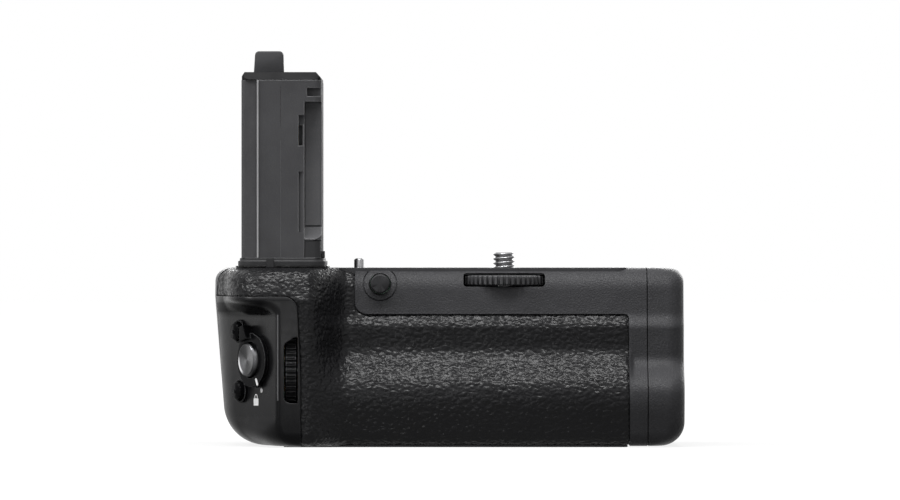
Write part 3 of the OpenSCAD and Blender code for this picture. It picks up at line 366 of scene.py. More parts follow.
def done(ob, material, body, replaced=(), angle=40, in_mm=True):
    """Scale a piece to metres, shade it smooth but for its edges, and put it on its body."""
    if in_mm:
        ob.data.transform(Matrix.Scale(MM, 4))
    bm = bmesh.new()
    bm.from_mesh(ob.data)
    bmesh.ops.dissolve_degenerate(bm, dist=1e-7, edges=bm.edges)
    bm.to_mesh(ob.data)
    bm.free()
    ob.data.materials.clear()
    ob.data.materials.append(material)
    for p in ob.data.polygons:
        p.use_smooth = True
    ob.data.set_sharp_from_angle(angle=math.radians(angle))
    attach(ob, body)
    if replaced:
        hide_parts(*replaced)
    return ob


# Materials
class Shade:
    """Principled material with colour, roughness and bump from grains in the object's own coordinates."""

    def __init__(self, name, metal=0.0, specular=0.5, anisotropy=0.0, coat=0.0):
        self.material = bpy.data.materials.new(name)
        self.material.use_nodes = True
        self.tree = self.material.node_tree
        self.bsdf = self.tree.nodes["Principled BSDF"]
        for key, value in (("Metallic", metal), ("Specular IOR Level", specular), ("Anisotropic", anisotropy),
                           ("Coat Weight", coat), ("Coat Roughness", 0.1)):
            self.bsdf.inputs[key].default_value = value
        self.coords = self.node("ShaderNodeTexCoord").outputs["Object"]

    def node(self, kind, links=None, **settings):
        n = self.tree.nodes.new(kind)
        for key, value in settings.items():
            if key in n.inputs:
                n.inputs[key].default_value = value
            else:
                setattr(n, key, value)
        for key, socket in (links or {}).items():
            self.tree.links.new(socket, n.inputs[key])
        return n

    def noise(self, size, detail=3.0, roughness=0.55, stretch=None):
        coords = self.coords
        if stretch:
            coords = self.node("ShaderNodeMapping", {"Vector": coords}, Scale=stretch).outputs["Vector"]
        return self.node("ShaderNodeTexNoise", {"Vector": coords}, Scale=1 / (size * MM), Detail=detail,
                         Roughness=roughness).outputs["Fac"]

    def cells(self, size, feature="F1", stretch=(1, 1, 1)):
        coords = self.node("ShaderNodeMapping", {"Vector": self.coords}, Scale=stretch).outputs["Vector"]
        return self.node("ShaderNodeTexVoronoi", {"Vector": coords}, feature=feature,
                         Scale=1 / (size * MM)).outputs["Distance"]

    def ranged(self, socket, lo, hi, out_lo, out_hi, clamp=True):
        n = self.node("ShaderNodeMapRange", {0: socket}, clamp=clamp)
        for i, v in zip((1, 2, 3, 4), (lo, hi, out_lo, out_hi)):
            n.inputs[i].default_value = v
        return n.outputs[0]

    def mixed(self, factor, a, b):
        n = self.node("ShaderNodeMix", data_type="RGBA")
        self.tree.links.new(factor, n.inputs[0])
        for key, value in ((6, a), (7, b)):
            if isinstance(value, bpy.types.NodeSocket):
                self.tree.links.new(value, n.inputs[key])
            else:
                n.inputs[key].default_value = (*value, 1)
        return n.outputs[2]

    def weighted(self, a, b, weight):
        n = self.node("ShaderNodeMath", {0: b, 2: a}, operation="MULTIPLY_ADD")
        n.inputs[1].default_value = weight
        return n.outputs[0]

    def times(self, a, b):
        return self.node("ShaderNodeMath", {0: a, 1: b}, operation="MULTIPLY").outputs[0]

    def rounding(self, radius):
        return self.node("ShaderNodeBevel", samples=4, Radius=radius * MM).outputs["Normal"]

    def edges(self, radius, most):
        """Most along convex and concave edges, 0 on the faces."""
        normal = self.node("ShaderNodeNewGeometry").outputs["Normal"]
        dot = self.node("ShaderNodeVectorMath", {0: self.rounding(radius), 1: normal},
                        operation="DOT_PRODUCT")
        return self.ranged(dot.outputs["Value"], 0.985, 0.80, 0, most)

    def color(self, socket):
        self.tree.links.new(socket, self.bsdf.inputs["Base Color"])

    def rough(self, socket):
        self.tree.links.new(socket, self.bsdf.inputs["Roughness"])

    def relief(self, height, depth, round_edges=0.0):
        links = {"Height": height}
        if round_edges:
            links["Normal"] = self.rounding(round_edges)
        bump = self.node("ShaderNodeBump", links, Strength=1.0, Distance=depth * MM)
        self.tree.links.new(bump.outputs["Normal"], self.bsdf.inputs["Normal"])


def scaled(color, k):
    return tuple(c * k for c in color)


def plastic(name, color, rough, grain, depth, specular=0.5, wear_and_glint=0.35, worn_and_glint_color=None, round_edges=0.18,
            reflection_shade_paint=None):
    s = Shade(name, specular=specular)
    patches = s.ranged(s.noise(9, 4), 0.3, 0.7, 0, 1)
    fine = s.noise(grain, 2)
    base = s.mixed(patches, scaled(color, 0.88), scaled(color, 1.12))
    specks = s.ranged(fine, 0.56, 0.72, 0, 0.6)
    base = s.mixed(specks, base, scaled(color, 1.5))
    # Lighter along the edges: rubbed wear, and where the edge colour is strong, painted highlights
    s.color(s.mixed(s.edges(0.35, wear_and_glint), base, worn_and_glint_color or scaled(color, 2.2)))
    s.rough(s.weighted(s.ranged(s.noise(3.5, 3), 0.3, 0.7, rough - 0.06, rough + 0.03), fine, 0.06))
    s.relief(fine, depth, round_edges)
    # Painted shading of the reflection, for materials that are given one
    if reflection_shade_paint:
        reflection_shade_paint(s, specular)
    return s.material


def painted_reflection_shade(s, specular):
    """Painted shade on the reflection: the shine fades towards the foot and in the hollow under the lip."""
    parts = s.node("ShaderNodeSeparateXYZ", {0: s.coords}).outputs

    def fade(axis, start, end, a, b):
        return s.ranged(parts[axis], start * MM, end * MM, a, b)

    hollow = s.times(fade("Z", 37.0, 38.8, 0, 1), fade("Z", 41.2, 43.0, 1, 0))
    hollow = s.times(hollow, fade("X", -54.0, -51.5, 1, 0))
    level = s.times(fade("Z", 6.0, 32.0, 0.4, 1), s.ranged(hollow, 0, 1, 1, 0.12))
    s.tree.links.new(s.ranged(level, 0, 1, 0, specular), s.bsdf.inputs["Specular IOR Level"])


def rubber(name, color):
    s = Shade(name, specular=0.10)
    patches = s.ranged(s.noise(12, 4), 0.3, 0.7, 0, 1)
    pores = s.cells(0.55)
    cells = s.ranged(s.cells(1.35, "DISTANCE_TO_EDGE", (0.66, 0.9, 1)), 0.0, 0.34, 0, 1)
    creases = s.noise(1.5, 2, 0.5, (0.6, 1, 1))
    base = s.mixed(patches, scaled(color, 0.82), scaled(color, 1.16))
    s.color(s.mixed(s.ranged(pores, 0.1, 0.6, 0.5, 0), base, scaled(color, 0.6)))
    s.rough(s.weighted(s.ranged(s.noise(2.2, 3), 0.3, 0.7, 0.19, 0.27), pores, 0.06))
    s.relief(s.weighted(cells, creases, 0.6), 0.10)
    return s.material


def metal(name, color, rough, scratch_size=(0.4, 0.4, 0.02), depth=0.004):
    s = Shade(name, metal=1.0)
    lines = s.noise(1.0, 3, 0.6, tuple(1 / v for v in scratch_size))
    stains = s.ranged(s.noise(3, 4), 0.35, 0.7, 0, 1)
    s.color(s.mixed(stains, scaled(color, 1.06), scaled(color, 0.78)))
    s.rough(s.weighted(s.ranged(lines, 0.3, 0.7, rough - 0.05, rough + 0.08), stains, 0.06))
    s.relief(lines, depth, 0.1)
    return s.material


def spun(name):
    """Metal spun about the piece's own axis: two bright and two dark fans of painted highlight and shade,
    fine rings and a painted highlight on one side of the rim.
    """
    s = Shade(name, metal=1.0, anisotropy=0.6)
    parts = s.node("ShaderNodeSeparateXYZ", {0: s.coords}).outputs
    angle = s.node("ShaderNodeMath", {0: parts["Y"], 1: parts["X"]}, operation="ARCTAN2").outputs[0]
    flat = s.node("ShaderNodeCombineXYZ", {"X": parts["X"], "Y": parts["Y"]}).outputs[0]
    radius = s.node("ShaderNodeVectorMath", {0: flat}, operation="LENGTH").outputs["Value"]

    def glint_fan(at, folds):
        turned_by = s.ranged(angle, 0, 1, -folds * math.radians(at), folds * (1 - math.radians(at)), False)
        return s.node("ShaderNodeMath", {0: turned_by}, operation="COSINE").outputs[0]

    rings = s.node("ShaderNodeTexNoise", {"W": s.ranged(radius, 0, MM, 0, 9, False)}, noise_dimensions="1D",
                   Scale=1.0, Detail=2.0).outputs[0]
    # Painted highlight and shade in fans across the face
    face = s.mixed(s.ranged(glint_fan(28, 2), -0.7, 0.95, 0, 1), (0.016, 0.016, 0.017), (0.125, 0.125, 0.13))
    face = s.mixed(s.ranged(rings, 0.4, 0.7, 0, 0.35), face, (0.05, 0.05, 0.052))
    # Painted highlight on one side of the rim
    rim_glint = s.times(s.ranged(radius, 3.6 * MM, 4.0 * MM, 0, 1), s.ranged(glint_fan(208, 1), 0.75, 0.97, 0, 1))
    s.color(s.mixed(rim_glint, face, (0.75, 0.75, 0.76)))
    s.rough(s.ranged(rings, 0.3, 0.7, 0.22, 0.34))
    s.relief(rings, 0.004)
    tangent = s.node("ShaderNodeTangent", direction_type="RADIAL", axis="Z").outputs[0]
    s.tree.links.new(tangent, s.bsdf.inputs["Tangent"])
    return s.material


def print_white(name, color):
    s = Shade(name, specular=0.3)
    grain = s.noise(0.3, 3)
    s.color(s.mixed(s.ranged(grain, 0.35, 0.75, 0, 1), color, scaled(color, 0.82)))
    s.rough(s.ranged(grain, 0.3, 0.7, 0.45, 0.6))
    s.relief(grain, 0.01)
    return s.material


def board_green(name, color):
    s = Shade(name, specular=0.5, coat=0.2)
    tracks = s.cells(1.6, "DISTANCE_TO_EDGE")
    s.color(s.mixed(s.ranged(tracks, 0.03, 0.08, 1, 0), color, scaled(color, 1.9)))
    s.rough(s.ranged(s.noise(1.0, 3), 0.3, 0.7, 0.35, 0.5))
    s.relief(tracks, 0.02)
    return s.material


SHELL = plastic("shell_plastic", (0.0345, 0.0345, 0.0366), rough=0.30, grain=0.46, depth=0.20, specular=0.06)
# The tower's lightened edges are painted highlight lines
TOWER = plastic("tower_plastic", (0.054, 0.054, 0.0565), rough=0.60, grain=0.32, depth=0.05, specular=0.10,
                wear_and_glint=0.9, worn_and_glint_color=(0.26, 0.26, 0.265))
DARK = plastic("dark_plastic", (0.014, 0.014, 0.015), rough=0.5, grain=0.32, depth=0.025, specular=0.2)
SEAT = plastic("seat_coating", (0.022, 0.022, 0.024), rough=0.55, grain=0.35, depth=0.04, specular=0.25,
               worn_and_glint_color=(0.12, 0.12, 0.12))
# The panel's lightened edges are a painted highlight
# The panel's reflection carries painted shade, weaker towards the foot and in the hollow under the lip
PANEL = plastic("panel_plastic", (0.006, 0.006, 0.0065), rough=0.28, grain=0.5, depth=0.006, specular=0.10,
                wear_and_glint=0.75, worn_and_glint_color=(0.075, 0.075, 0.077), round_edges=0.4, reflection_shade_paint=painted_reflection_shade)
# The lightened edges of the controls are painted glints
CONTROL = plastic("control_plastic", (0.004, 0.004, 0.0045), rough=0.20, grain=0.3, depth=0.010,
                  specular=0.018, wear_and_glint=0.8, worn_and_glint_color=(0.16, 0.16, 0.165))
DIAL = plastic("dial_plastic", (0.038, 0.038, 0.040), rough=0.34, grain=0.3, depth=0.02, specular=0.25)
KEY = plastic("key_plastic", (0.028, 0.028, 0.0295), rough=0.40, grain=0.3, depth=0.02, specular=0.08)
# Light grey for the raised line on the tower, a painted highlight on its edge
RIB_HIGHLIGHT = plastic("rib_painted_highlight", (0.28, 0.28, 0.285), rough=0.45, grain=0.3, depth=0.02, specular=0.2)
# Lighter than the tower's plastic: paints light onto the store's floor, which lies in shade, and a highlight
# onto the mould line
STORE_LIGHTENED = plastic("store_painted_light", (0.105, 0.105, 0.109), rough=0.60, grain=0.32, depth=0.03, specular=0.10,
                wear_and_glint=0.0)
# Light grey for a thin strip that paints the highlight on the brow's edge
BROW_HIGHLIGHT = plastic("brow_painted_highlight", (0.10, 0.10, 0.103), rough=0.3, grain=0.3, depth=0.01, specular=0.1)
CAP = plastic("cap_plastic", (0.007, 0.007, 0.0075), rough=0.5, grain=0.32, depth=0.02, specular=0.05,
              wear_and_glint=0.1)
CHIP = plastic("chip_plastic", (0.02, 0.02, 0.02), rough=0.55, grain=0.4, depth=0.02)
RIBBON = plastic("ribbon_film", (0.40, 0.17, 0.03), rough=0.35, grain=0.8, depth=0.01, worn_and_glint_color=(0.5, 0.25, 0.08))
SKIN_M = rubber("grip_rubber", (0.008, 0.008, 0.0087))
SEAL = rubber("seal_rubber", (0.008, 0.008, 0.008))
STEEL = metal("turned_steel", (0.26, 0.26, 0.265), rough=0.28)
ALLOY = metal("cast_alloy", (0.30, 0.30, 0.31), rough=0.5, scratch_size=(0.6, 0.6, 0.6), depth=0.03)
GOLD = metal("gold_plate", (0.90, 0.66, 0.28), rough=0.25)
SPUN = spun("spun_metal")
BOARD = board_green("board_green", (0.02, 0.12, 0.05))
WHITE = print_white("white_print", (0.85, 0.85, 0.85))
by_slot = {"shell": SHELL, "skin": SKIN_M, "panel": PANEL, "tower": TOWER, "tower_dark": DARK, "seat": SEAT,
           "control": CONTROL, "spun": SPUN, "steel": STEEL, "alloy": ALLOY, "seal": SEAL, "contact": GOLD,
           "board": BOARD, "chip": CHIP, "ribbon": RIBBON}
for name, ob in nodes.items():
    ob.data.materials.clear()
    ob.data.materials.append(TOWER if name == "plinth_clips" else by_slot[slot_of[name]])

# Zones of the shell as seen along Y
strip_path = ([(STRIP_X, FAR)] + quarter((STRIP_X + STRIP_R, STRIP_LOW + STRIP_R), STRIP_R, 180)
              + quarter((BAND_X - BAND_R, STRIP_LOW - BAND_R), BAND_R, 0)[::-1]
              + [(BAND_X + BAND_LEAN, -FAR)])
panel_path = [(-FAR, LIP_Z)] + quarter((PANEL_X, LIP_Z - PANEL_R), PANEL_R, 0)[::-1] + PANEL_EDGE


def strip_zone(by):
    return prism(shifted(strip_path, -by) + [(FAR, -FAR), (FAR, FAR)], -FAR, PART_Y, "Y")


def panel_zone(by):
    return prism(shifted(panel_path, by) + [(-FAR, -FAR)], -FAR, PART_Y, "Y")


def pad_zone(by):
    return prism(rounded(grown(PAD_X, by), grown(PAD_Z, by), PAD_R + by), PART_Y, FAR, "Y")


def path_distance(points, path):
    """Distance of each point (x, z) from a path."""
    best = np.full(len(points), 1e9)
    for a, b in zip(np.array(path[:-1]), np.array(path[1:])):
        ab = b - a
        t = np.clip(((points - a) @ ab) / max(ab @ ab, 1e-9), 0, 1)
        best = np.minimum(best, np.linalg.norm(points - a - t[:, None] * ab, axis=1))
    return best


# Leather relief: size of a pebble, depth of the creases, height of the swell and depth along the cut edges
PEBBLE, CREASE, SWELL, EDGE_SINK = 1.45, 0.25, 0.12, 0.30
PAD_PEBBLE, PAD_CREASE = 1.75, 0.22


def pebbles(g):
    """Leather relief: pebbles parted by creases, sunk a little along the skin's cut edges."""
    pts = g.reshape(-1, 3)
    depth = np.zeros(len(pts))
    for i, p in enumerate(pts):
        if p[1] > PART_Y + 1 or p[0] > JOINT_X + 1:
            continue
        q = Vector((p[0] * 0.74, p[1] * 0.9, p[2]))
        warp = noise.noise_vector(q * 0.5) * 0.8
        dist = noise.voronoi((q + warp) / PEBBLE)[0]
        crease = min(1.0, (dist[1] - dist[0]) / 0.5)
        crease = crease * (2 - crease)
        rise = 0.5 + 0.5 * noise.noise(q * 1.3)
        depth[i] = CREASE * (1 - crease) + SWELL * rise
    near = np.minimum(path_distance(pts[:, [0, 2]], strip_path), path_distance(pts[:, [0, 2]], panel_path))
    depth += EDGE_SINK * np.exp(-(near / 0.55) ** 2)
    return -depth.reshape(g.shape[:2])


def pad_pebbles(g):
    """Plainer leather relief for the thumb pad."""
    pts = g.reshape(-1, 3)
    depth = np.zeros(len(pts))
    for i, p in enumerate(pts):
        if p[1] < PART_Y or p[0] > PAD_X[1] + 4.2 or p[2] > PAD_Z[1] + 3:
            continue
        dist = noise.voronoi(Vector(p) / PAD_PEBBLE + noise.noise_vector(Vector(p) * 0.3) * 0.3)[0]
        crease = min(1.0, (dist[1] - dist[0]) / 0.42)
        depth[i] = PAD_CREASE * (1 - crease * crease * (3 - 2 * crease))
    return -depth.reshape(g.shape[:2])


# The warp of the pebbles comes from a fixed seed. Without one, mathutils takes the clock's time
noise.seed_set(3)
outer = form(0, FINE)
leather = form(0, FINE, pebbles)
under_skin = form(SKIN + BED, ROUGH)
skin_back = form(SKIN, ROUGH)
inner = form(WALL, ROUGH)
behind = block((-FAR, PART_Y - SEAM / 2, -FAR), (FAR, FAR, FAR))
before = block((-FAR, -FAR, -FAR), (FAR, PART_Y + SEAM / 2, FAR))
cap_side = block((SEAM_X - SEAM / 2, -FAR, -FAR), (FAR, FAR, FAR))
lap = block((JOINT_X - LAP_IN, -FAR, -FAR), (SEAM_X + SEAM / 2, FAR, FAR))
seat = prism(rounded(grown(SEAT_X, PLAY), grown(SEAT_Y, PLAY), SEAT_R), SEAT_Z, FAR, "Z")
fore_seat = prism(rounded(grown((SEAT_X[0], FORE_X), PLAY), (FORE_Y - PLAY, 0), FORE_R), SEAT_Z, FAR, "Z")
base = prism(rounded(grown(BASE_X, PLAY), grown(BASE_Y, PLAY), BASE_R), -1, BASE_TOP, "Z")
tunnel = block((TUNNEL_X - PLAY, TUNNEL_Y[0] - PLAY, TUNNEL_Z[0] - PLAY),
               (FAR, TUNNEL_Y[1] + PLAY, TUNNEL_Z[1]))
openings = (seat, fore_seat, base, tunnel)


def flat_hole(u, v, r):
    ob = prism(disc(u, v, r), -FLAT_CUT, FLAT_CUT, "Z")
    ob.data.transform(FLAT)
    return ob


def rod_y(r, y0, y1, x, z):
    return prism(disc(x, z, r), y0, y1, "Y")


# Skin of the grip
grip = copy_of(leather, "grip_skin_pebbled")
combine(grip, "DIFFERENCE", skin_back, strip_zone(SEAM / 2), panel_zone(SEAM / 2), behind, cap_side,
        *openings)
done(grip, SKIN_M, "housing", ["grip_skin"], 65)

# Front cover: the strip stands full beside the skin, and the rest lies under it
front = copy_of(outer, "front_cover_shell")
combine(front, "INTERSECT", strip_zone(-SEAM / 2))
combine(front, "UNION", under_skin)
combine(front, "DIFFERENCE", inner, panel_zone(SEAM / 2), behind, cap_side)

# Boss of the front button, which leans with the strip, in its groove
BOSS_Y = STRIP_Y + LEAN * (BUTTON_Z - STRIP_LOW) / STRIP_H
boss = rod_y(BOSS_R, STRIP_Y - 1, STRIP_Y + BOSS_DEEP, BUTTON_X, BUTTON_Z)
combine(boss, "INTERSECT", form(-BOSS_OUT, ROUGH))
groove = rod_y(GROOVE_R, STRIP_Y - 1, STRIP_Y + GROOVE_DEEP, BUTTON_X, BUTTON_Z)
combine(groove, "DIFFERENCE", form(GROOVE, ROUGH))
combine(front, "DIFFERENCE", groove)
combine(front, "UNION", boss)
combine(front, "DIFFERENCE", *openings,
        prism(rounded(around(SCREW_X, ATTACH_SLOT_W), ATTACH_SLOT_Z, 1), STRIP_Y - 6, SCREW_Y, "Y"),
        rod_y(BUTTON_R + FREE, STRIP_Y - 1, STRIP_Y + BUTTON_DEEP, BUTTON_X, BUTTON_Z),
        rod_y(BUTTON_R + RIM_W, STRIP_Y - 1, BOSS_Y + RIM_DEEP, BUTTON_X, BUTTON_Z))
done(front, SHELL, "housing", ["front_cover"])

# Control panel, with a painted highlight line along the brow
panel = copy_of(outer, "control_panel_shell")
combine(panel, "INTERSECT", panel_zone(-SEAM / 2))
combine(panel, "DIFFERENCE", inner, behind, base, tunnel, flat_hole(0, 0, LEVER_R + FREE),
        *[flat_hole(u, v, CUSTOM_R + FREE) for u, v in CUSTOM_AT],
        prism(DIAL_SLOT, HEAD_Y - 3, HEAD_Y + 9, "Y"))
done(panel, PANEL, "housing", ["control_panel"])
brow_highlight_line = prism(disc(BROW_X + 0.17, HEAD_Y + 0.20, 0.22, 12), 13.5, FLAT_Z + 0.5, "Z")
done(kept(brow_highlight_line, "panel_brow_highlight"), BROW_HIGHLIGHT, "housing")

# Rear cover and its thumb pad
rear = copy_of(outer, "rear_cover_shell")
combine(rear, "DIFFERENCE", pad_zone(SEAM / 2))
combine(rear, "UNION", under_skin)
combine(rear, "DIFFERENCE", inner, before, cap_side, *openings,
        *[rod_y(REAR_BUTTON_R + FREE, REAR_Y - 6, FAR, x, REAR_BUTTON_Z) for x in REAR_BUTTON_X],
        rod_y(STICK_R, REAR_Y - 6, FAR, STICK_X, STICK_Z),
        prism(rounded(around(REAR_DIAL.x, REAR_SLOT[0]), around(REAR_DIAL.z, REAR_SLOT[1]), 0.8),
              REAR_Y - 8, FAR, "Y"))
done(rear, SHELL, "housing", ["rear_cover"])
pad = copy_of(form(0, PAD_FINE, pad_pebbles), "thumb_skin_pebbled")
combine(pad, "INTERSECT", pad_zone(-SEAM / 2))
combine(pad, "DIFFERENCE", skin_back)
done(pad, SKIN_M, "housing", ["thumb_skin"], 65)

# End cap of the tray, under the covers' rim
cap = copy_of(outer, "tray_cap_shell")
hollow = copy_of(inner, "cutter")
scratch.append(hollow)
combine(hollow, "DIFFERENCE", block((-FAR, -FAR, -FAR), (JOINT_X + SEAM / 2 + CAP_WALL, FAR, FAR)))
combine(lap, "DIFFERENCE", form(WALL + LAP_FREE, ROUGH))
combine(cap, "DIFFERENCE", block((-FAR, -FAR, -FAR), (JOINT_X + SEAM / 2, FAR, FAR)), hollow, lap,
        prism(rounded(around(LATCH_Y, LATCH_W + FREE), grown(LATCH_Z, FREE), 1), CAP_X - LATCH_DEEP, FAR,
              "X"))
done(cap, SHELL, "tray", ["tray_cap"])


def circle(n):
    return np.linspace(0, 2 * math.pi, n, endpoint=False)


def ring(r, angles, z):
    return np.column_stack([r * np.cos(angles), r * np.sin(angles), np.full_like(angles, z)])


def ribbed(name, r, w, ribs, depth, bore, matrix, material, body, node):
    """Dial with ribs round its edge."""
    angles = circle(ribs * 14)
    rib = depth * (1 - smooth((0.5 + 0.5 * np.cos(angles * ribs)) * 1.5))
    profile = [(0.0, bore, 0), (0.0, r - 1.6, 0), (0.0, r - 0.7, 1), (0.12, r - 0.35, 1), (0.35, r, 1),
               (w - 0.35, r, 1), (w - 0.12, r - 0.35, 1), (w, r - 0.7, 1), (w, r - 1.6, 0), (w, bore, 0)]
    g = np.array([ring(radius - rib * share, angles, h) for h, radius, share in profile])
    m, n = g.shape[:2]
    faces = [[k * n + i, k * n + (i + 1) % n, ((k + 1) % m) * n + (i + 1) % n, ((k + 1) % m) * n + i]
             for k in range(m) for i in range(n)]
    ob = mesh_object(name, g.reshape(-1, 3), faces)
    ob.data.transform(matrix)
    return done(ob, material, body, [node], 40)


def across(centre):
    """Place of a dial that turns about the x direction."""
    return (Matrix.Translation(centre - Vector((DIAL_W / 2, 0, 0)))
            @ Matrix.Rotation(math.radians(90), 4, "Y"))


ribbed("attachment_dial_ribbed", ATTACH_R, ATTACH_W, ATTACH_RIBS, ATTACH_RIB, JOURNAL_R,
       Matrix.Translation((SCREW_X, SCREW_Y, ATTACH_LOW)), DIAL, "attach", "attachment_dial")
ribbed("front_dial_ribbed", FRONT_DIAL_R, DIAL_W, DIAL_RIBS, DIAL_RIB, DIAL_BORE, across(FRONT_DIAL),
       CONTROL, "front_wheel", "front_dial")
ribbed("rear_dial_ribbed", REAR_DIAL_R, DIAL_W, DIAL_RIBS, DIAL_RIB, DIAL_BORE, across(REAR_DIAL),
       CONTROL, "rear_wheel", "rear_dial")


def turned(name, profile):
    """Lathe a closed profile of (radius, height), from the axis back to the axis."""
    angles = circle(96)
    n = len(angles)
    verts = [(0, 0, profile[0][1])]
    for r, h in profile[1:-1]:
        verts += [tuple(v) for v in ring(r, angles, h)]
    verts.append((0, 0, profile[-1][1]))
    m = len(profile) - 2
    faces = [[0, 1 + (i + 1) % n, 1 + i] for i in range(n)]
    for k in range(m - 1):
        a, b = 1 + k * n, 1 + (k + 1) * n
        faces += [[a + i, a + (i + 1) % n, b + (i + 1) % n, b + i] for i in range(n)]
    last, a = len(verts) - 1, 1 + (m - 1) * n
    faces += [[last, a + i, a + (i + 1) % n] for i in range(n)]
    return mesh_object(name, verts, faces)


def thread(r, depth, z0, z1, pitch, angles):
    """Rings of a threaded rod, with a lead-in at its top."""
    rings = []
    for z in np.linspace(z0, z1, int((z1 - z0) / pitch * 14)):
        phase = ((z - z0) / pitch - angles / (2 * math.pi)) % 1.0
        tooth = np.clip(np.abs(phase - 0.5) * 2.3 - 0.1, 0, 1)
        lead_in = 0.62 * (1 - min(1.0, (z1 - z) / 0.55))
        rings.append(ring(np.minimum(r - depth * tooth, r - lead_in), angles, z))
    return rings


# Camera screw
screw_angles = circle(SCREW_SIDES)
screw_rings = [ring(JOURNAL_R, screw_angles, z) for z in (SCREW_LOW, BODY_H)]
screw_rings += thread(SCREW_R, THREAD, BODY_H + 0.02, SCREW_TOP, PITCH, screw_angles)
screw = mesh_object("camera_screw_threaded", np.concatenate(screw_rings), loft(screw_rings))
screw.data.transform(Matrix.Translation((SCREW_X, SCREW_Y, 0)))
done(screw, STEEL, "attach", ["camera_screw"], 50)

# Shutter button: dished spun face
face = [(r, 2.5 + 0.4 * (r / 4.4) ** 2 + 0.012 * math.cos(r * 12)) for r in np.linspace(0.15, 4.3, 36)]
shutter = turned("shutter_button_spun", [(0, -5.2), (1.6, -5.2), (1.6, -1.4), (4.75, -1.4), (4.9, -1.25),
                                         (4.9, 2.35), (4.82, 2.5), (4.45, 2.86)] + face[::-1] + [(0, 2.5)])
shutter.data.transform(Matrix.Scale(MM, 4))
shutter.matrix_world = Matrix.Translation(SHUTTER * MM) @ FLAT.to_3x3().to_4x4()
done(shutter, SPUN, "shutter", ["shutter_button"], 30, in_mm=False)


# Pieces kept from the solids, with their edges rounded
def softened(name, width):
    bm = bmesh.new()
    bm.from_mesh(nodes[name].data)
    bmesh.ops.remove_doubles(bm, verts=bm.verts, dist=1e-7)
    bmesh.ops.dissolve_limit(bm, angle_limit=math.radians(1.0), verts=bm.verts, edges=bm.edges)
    sharp = [e for e in bm.edges if len(e.link_faces) == 2 and e.calc_face_angle(0) > math.radians(28)
             and all(f.calc_area() > 2.2 * width * MM * e.calc_length() for f in e.link_faces)]
    bmesh.ops.bevel(bm, geom=sharp, offset=width * MM, segments=2, profile=0.6, affect="EDGES",
                    clamp_overlap=True)
    bmesh.ops.triangulate(bm, faces=[f for f in bm.faces if len(f.verts) > 4])
    mesh = bpy.data.meshes.new(name + "_edged")
    bm.to_mesh(mesh)
    bm.free()
    ob = bpy.data.objects.new(name + "_edged", mesh)
    scene.collection.objects.link(ob)
    flat = ob.modifiers.new("flat_faces", "WEIGHTED_NORMAL")
    flat.keep_sharp = True
    return done(ob, by_slot[slot_of[name]], body_of[name], [name], 35, in_mm=False)


for name, width in (
        ("tower_front", 0.25), ("tower_rear", 0.25), ("tower_plinth", 0.25), ("plinth_clips", 0.12),
        ("plinth_seal", 0.15), ("top_plate", 0.2), ("bottom_plate", 0.25), ("lock_lever", 0.28),
        ("custom_button_upper", 0.12), ("custom_button_lower", 0.12), ("front_button", 0.12),
        ("af_button", 0.15), ("hold_button", 0.15), ("joystick_cap", 0.15), ("tray_latch", 0.15),
        ("locating_pin", 0.1), ("battery_tray", 0.15), ("button_collars", 0.12), ("shutter_bezel", 0.12),
        ("screw_bush", 0.1), ("tripod_bush", 0.12)):
    softened(name, width)
bpy.data.objects["front_button_edged"].data.materials[0] = KEY

# Strips in the joints, a little under the surface, so that no light comes through
STRIP_DEEP, STRIP_IN = 0.75, 1.7
THIN = SEAM / 2 - 0.02


def joint_strip(name, zone, body, slot, *cuts):
    strip = form(STRIP_DEEP, ROUGH)
    combine(strip, "INTERSECT", zone)
    combine(strip, "DIFFERENCE", form(STRIP_IN, ROUGH), *cuts)
    return done(kept(strip, name), CAP, body)


joint_strip("cap_joint_strip", block((SEAM_X - THIN, -FAR, -FAR), (SEAM_X + THIN, FAR, FAR)), "tray", "shell")
joint_strip("cover_joint_strip", block((-FAR, PART_Y - THIN, -FAR), (SEAM_X - SEAM, PART_Y + THIN, FAR)),
            "housing", "shell", *openings)
edge_zone = panel_zone(THIN)
combine(edge_zone, "DIFFERENCE", panel_zone(-THIN))
joint_strip("panel_joint_strip", edge_zone, "housing", "panel", behind, *openings)

# Strips in the tower's joint, then on its front a raised line and a fine mould line, both lighter as painted
# highlights, and a lighter plate on the store's floor, painted light in the recess's shade
seam_y = around(TOWER_SEAM_Y, 0.04)
for name, material, x, y, z in (
        ("tower_joint_strip_left", CAP, (-59.6, -58.6), seam_y, TOWER_SEAM_Z),
        ("tower_joint_strip_right", CAP, (-38.4, -37.4), seam_y, TOWER_SEAM_Z),
        ("tower_line", RIB_HIGHLIGHT, (-55.5, -55.05), (-19.53, -19.3), (54.3, 105.2)),
        ("tower_mould_line", STORE_LIGHTENED, (-48.72, -48.60), (-19.23, -19.15), (54.5, 88.0)),
        ("store_floor", STORE_LIGHTENED, (-41.7, -37.25), (-14.78, -14.72), (63.6, 98.8))):
    trim = block((x[0], y[0], z[0]), (x[1], y[1], z[1]))
    done(kept(trim, name), material, "housing")

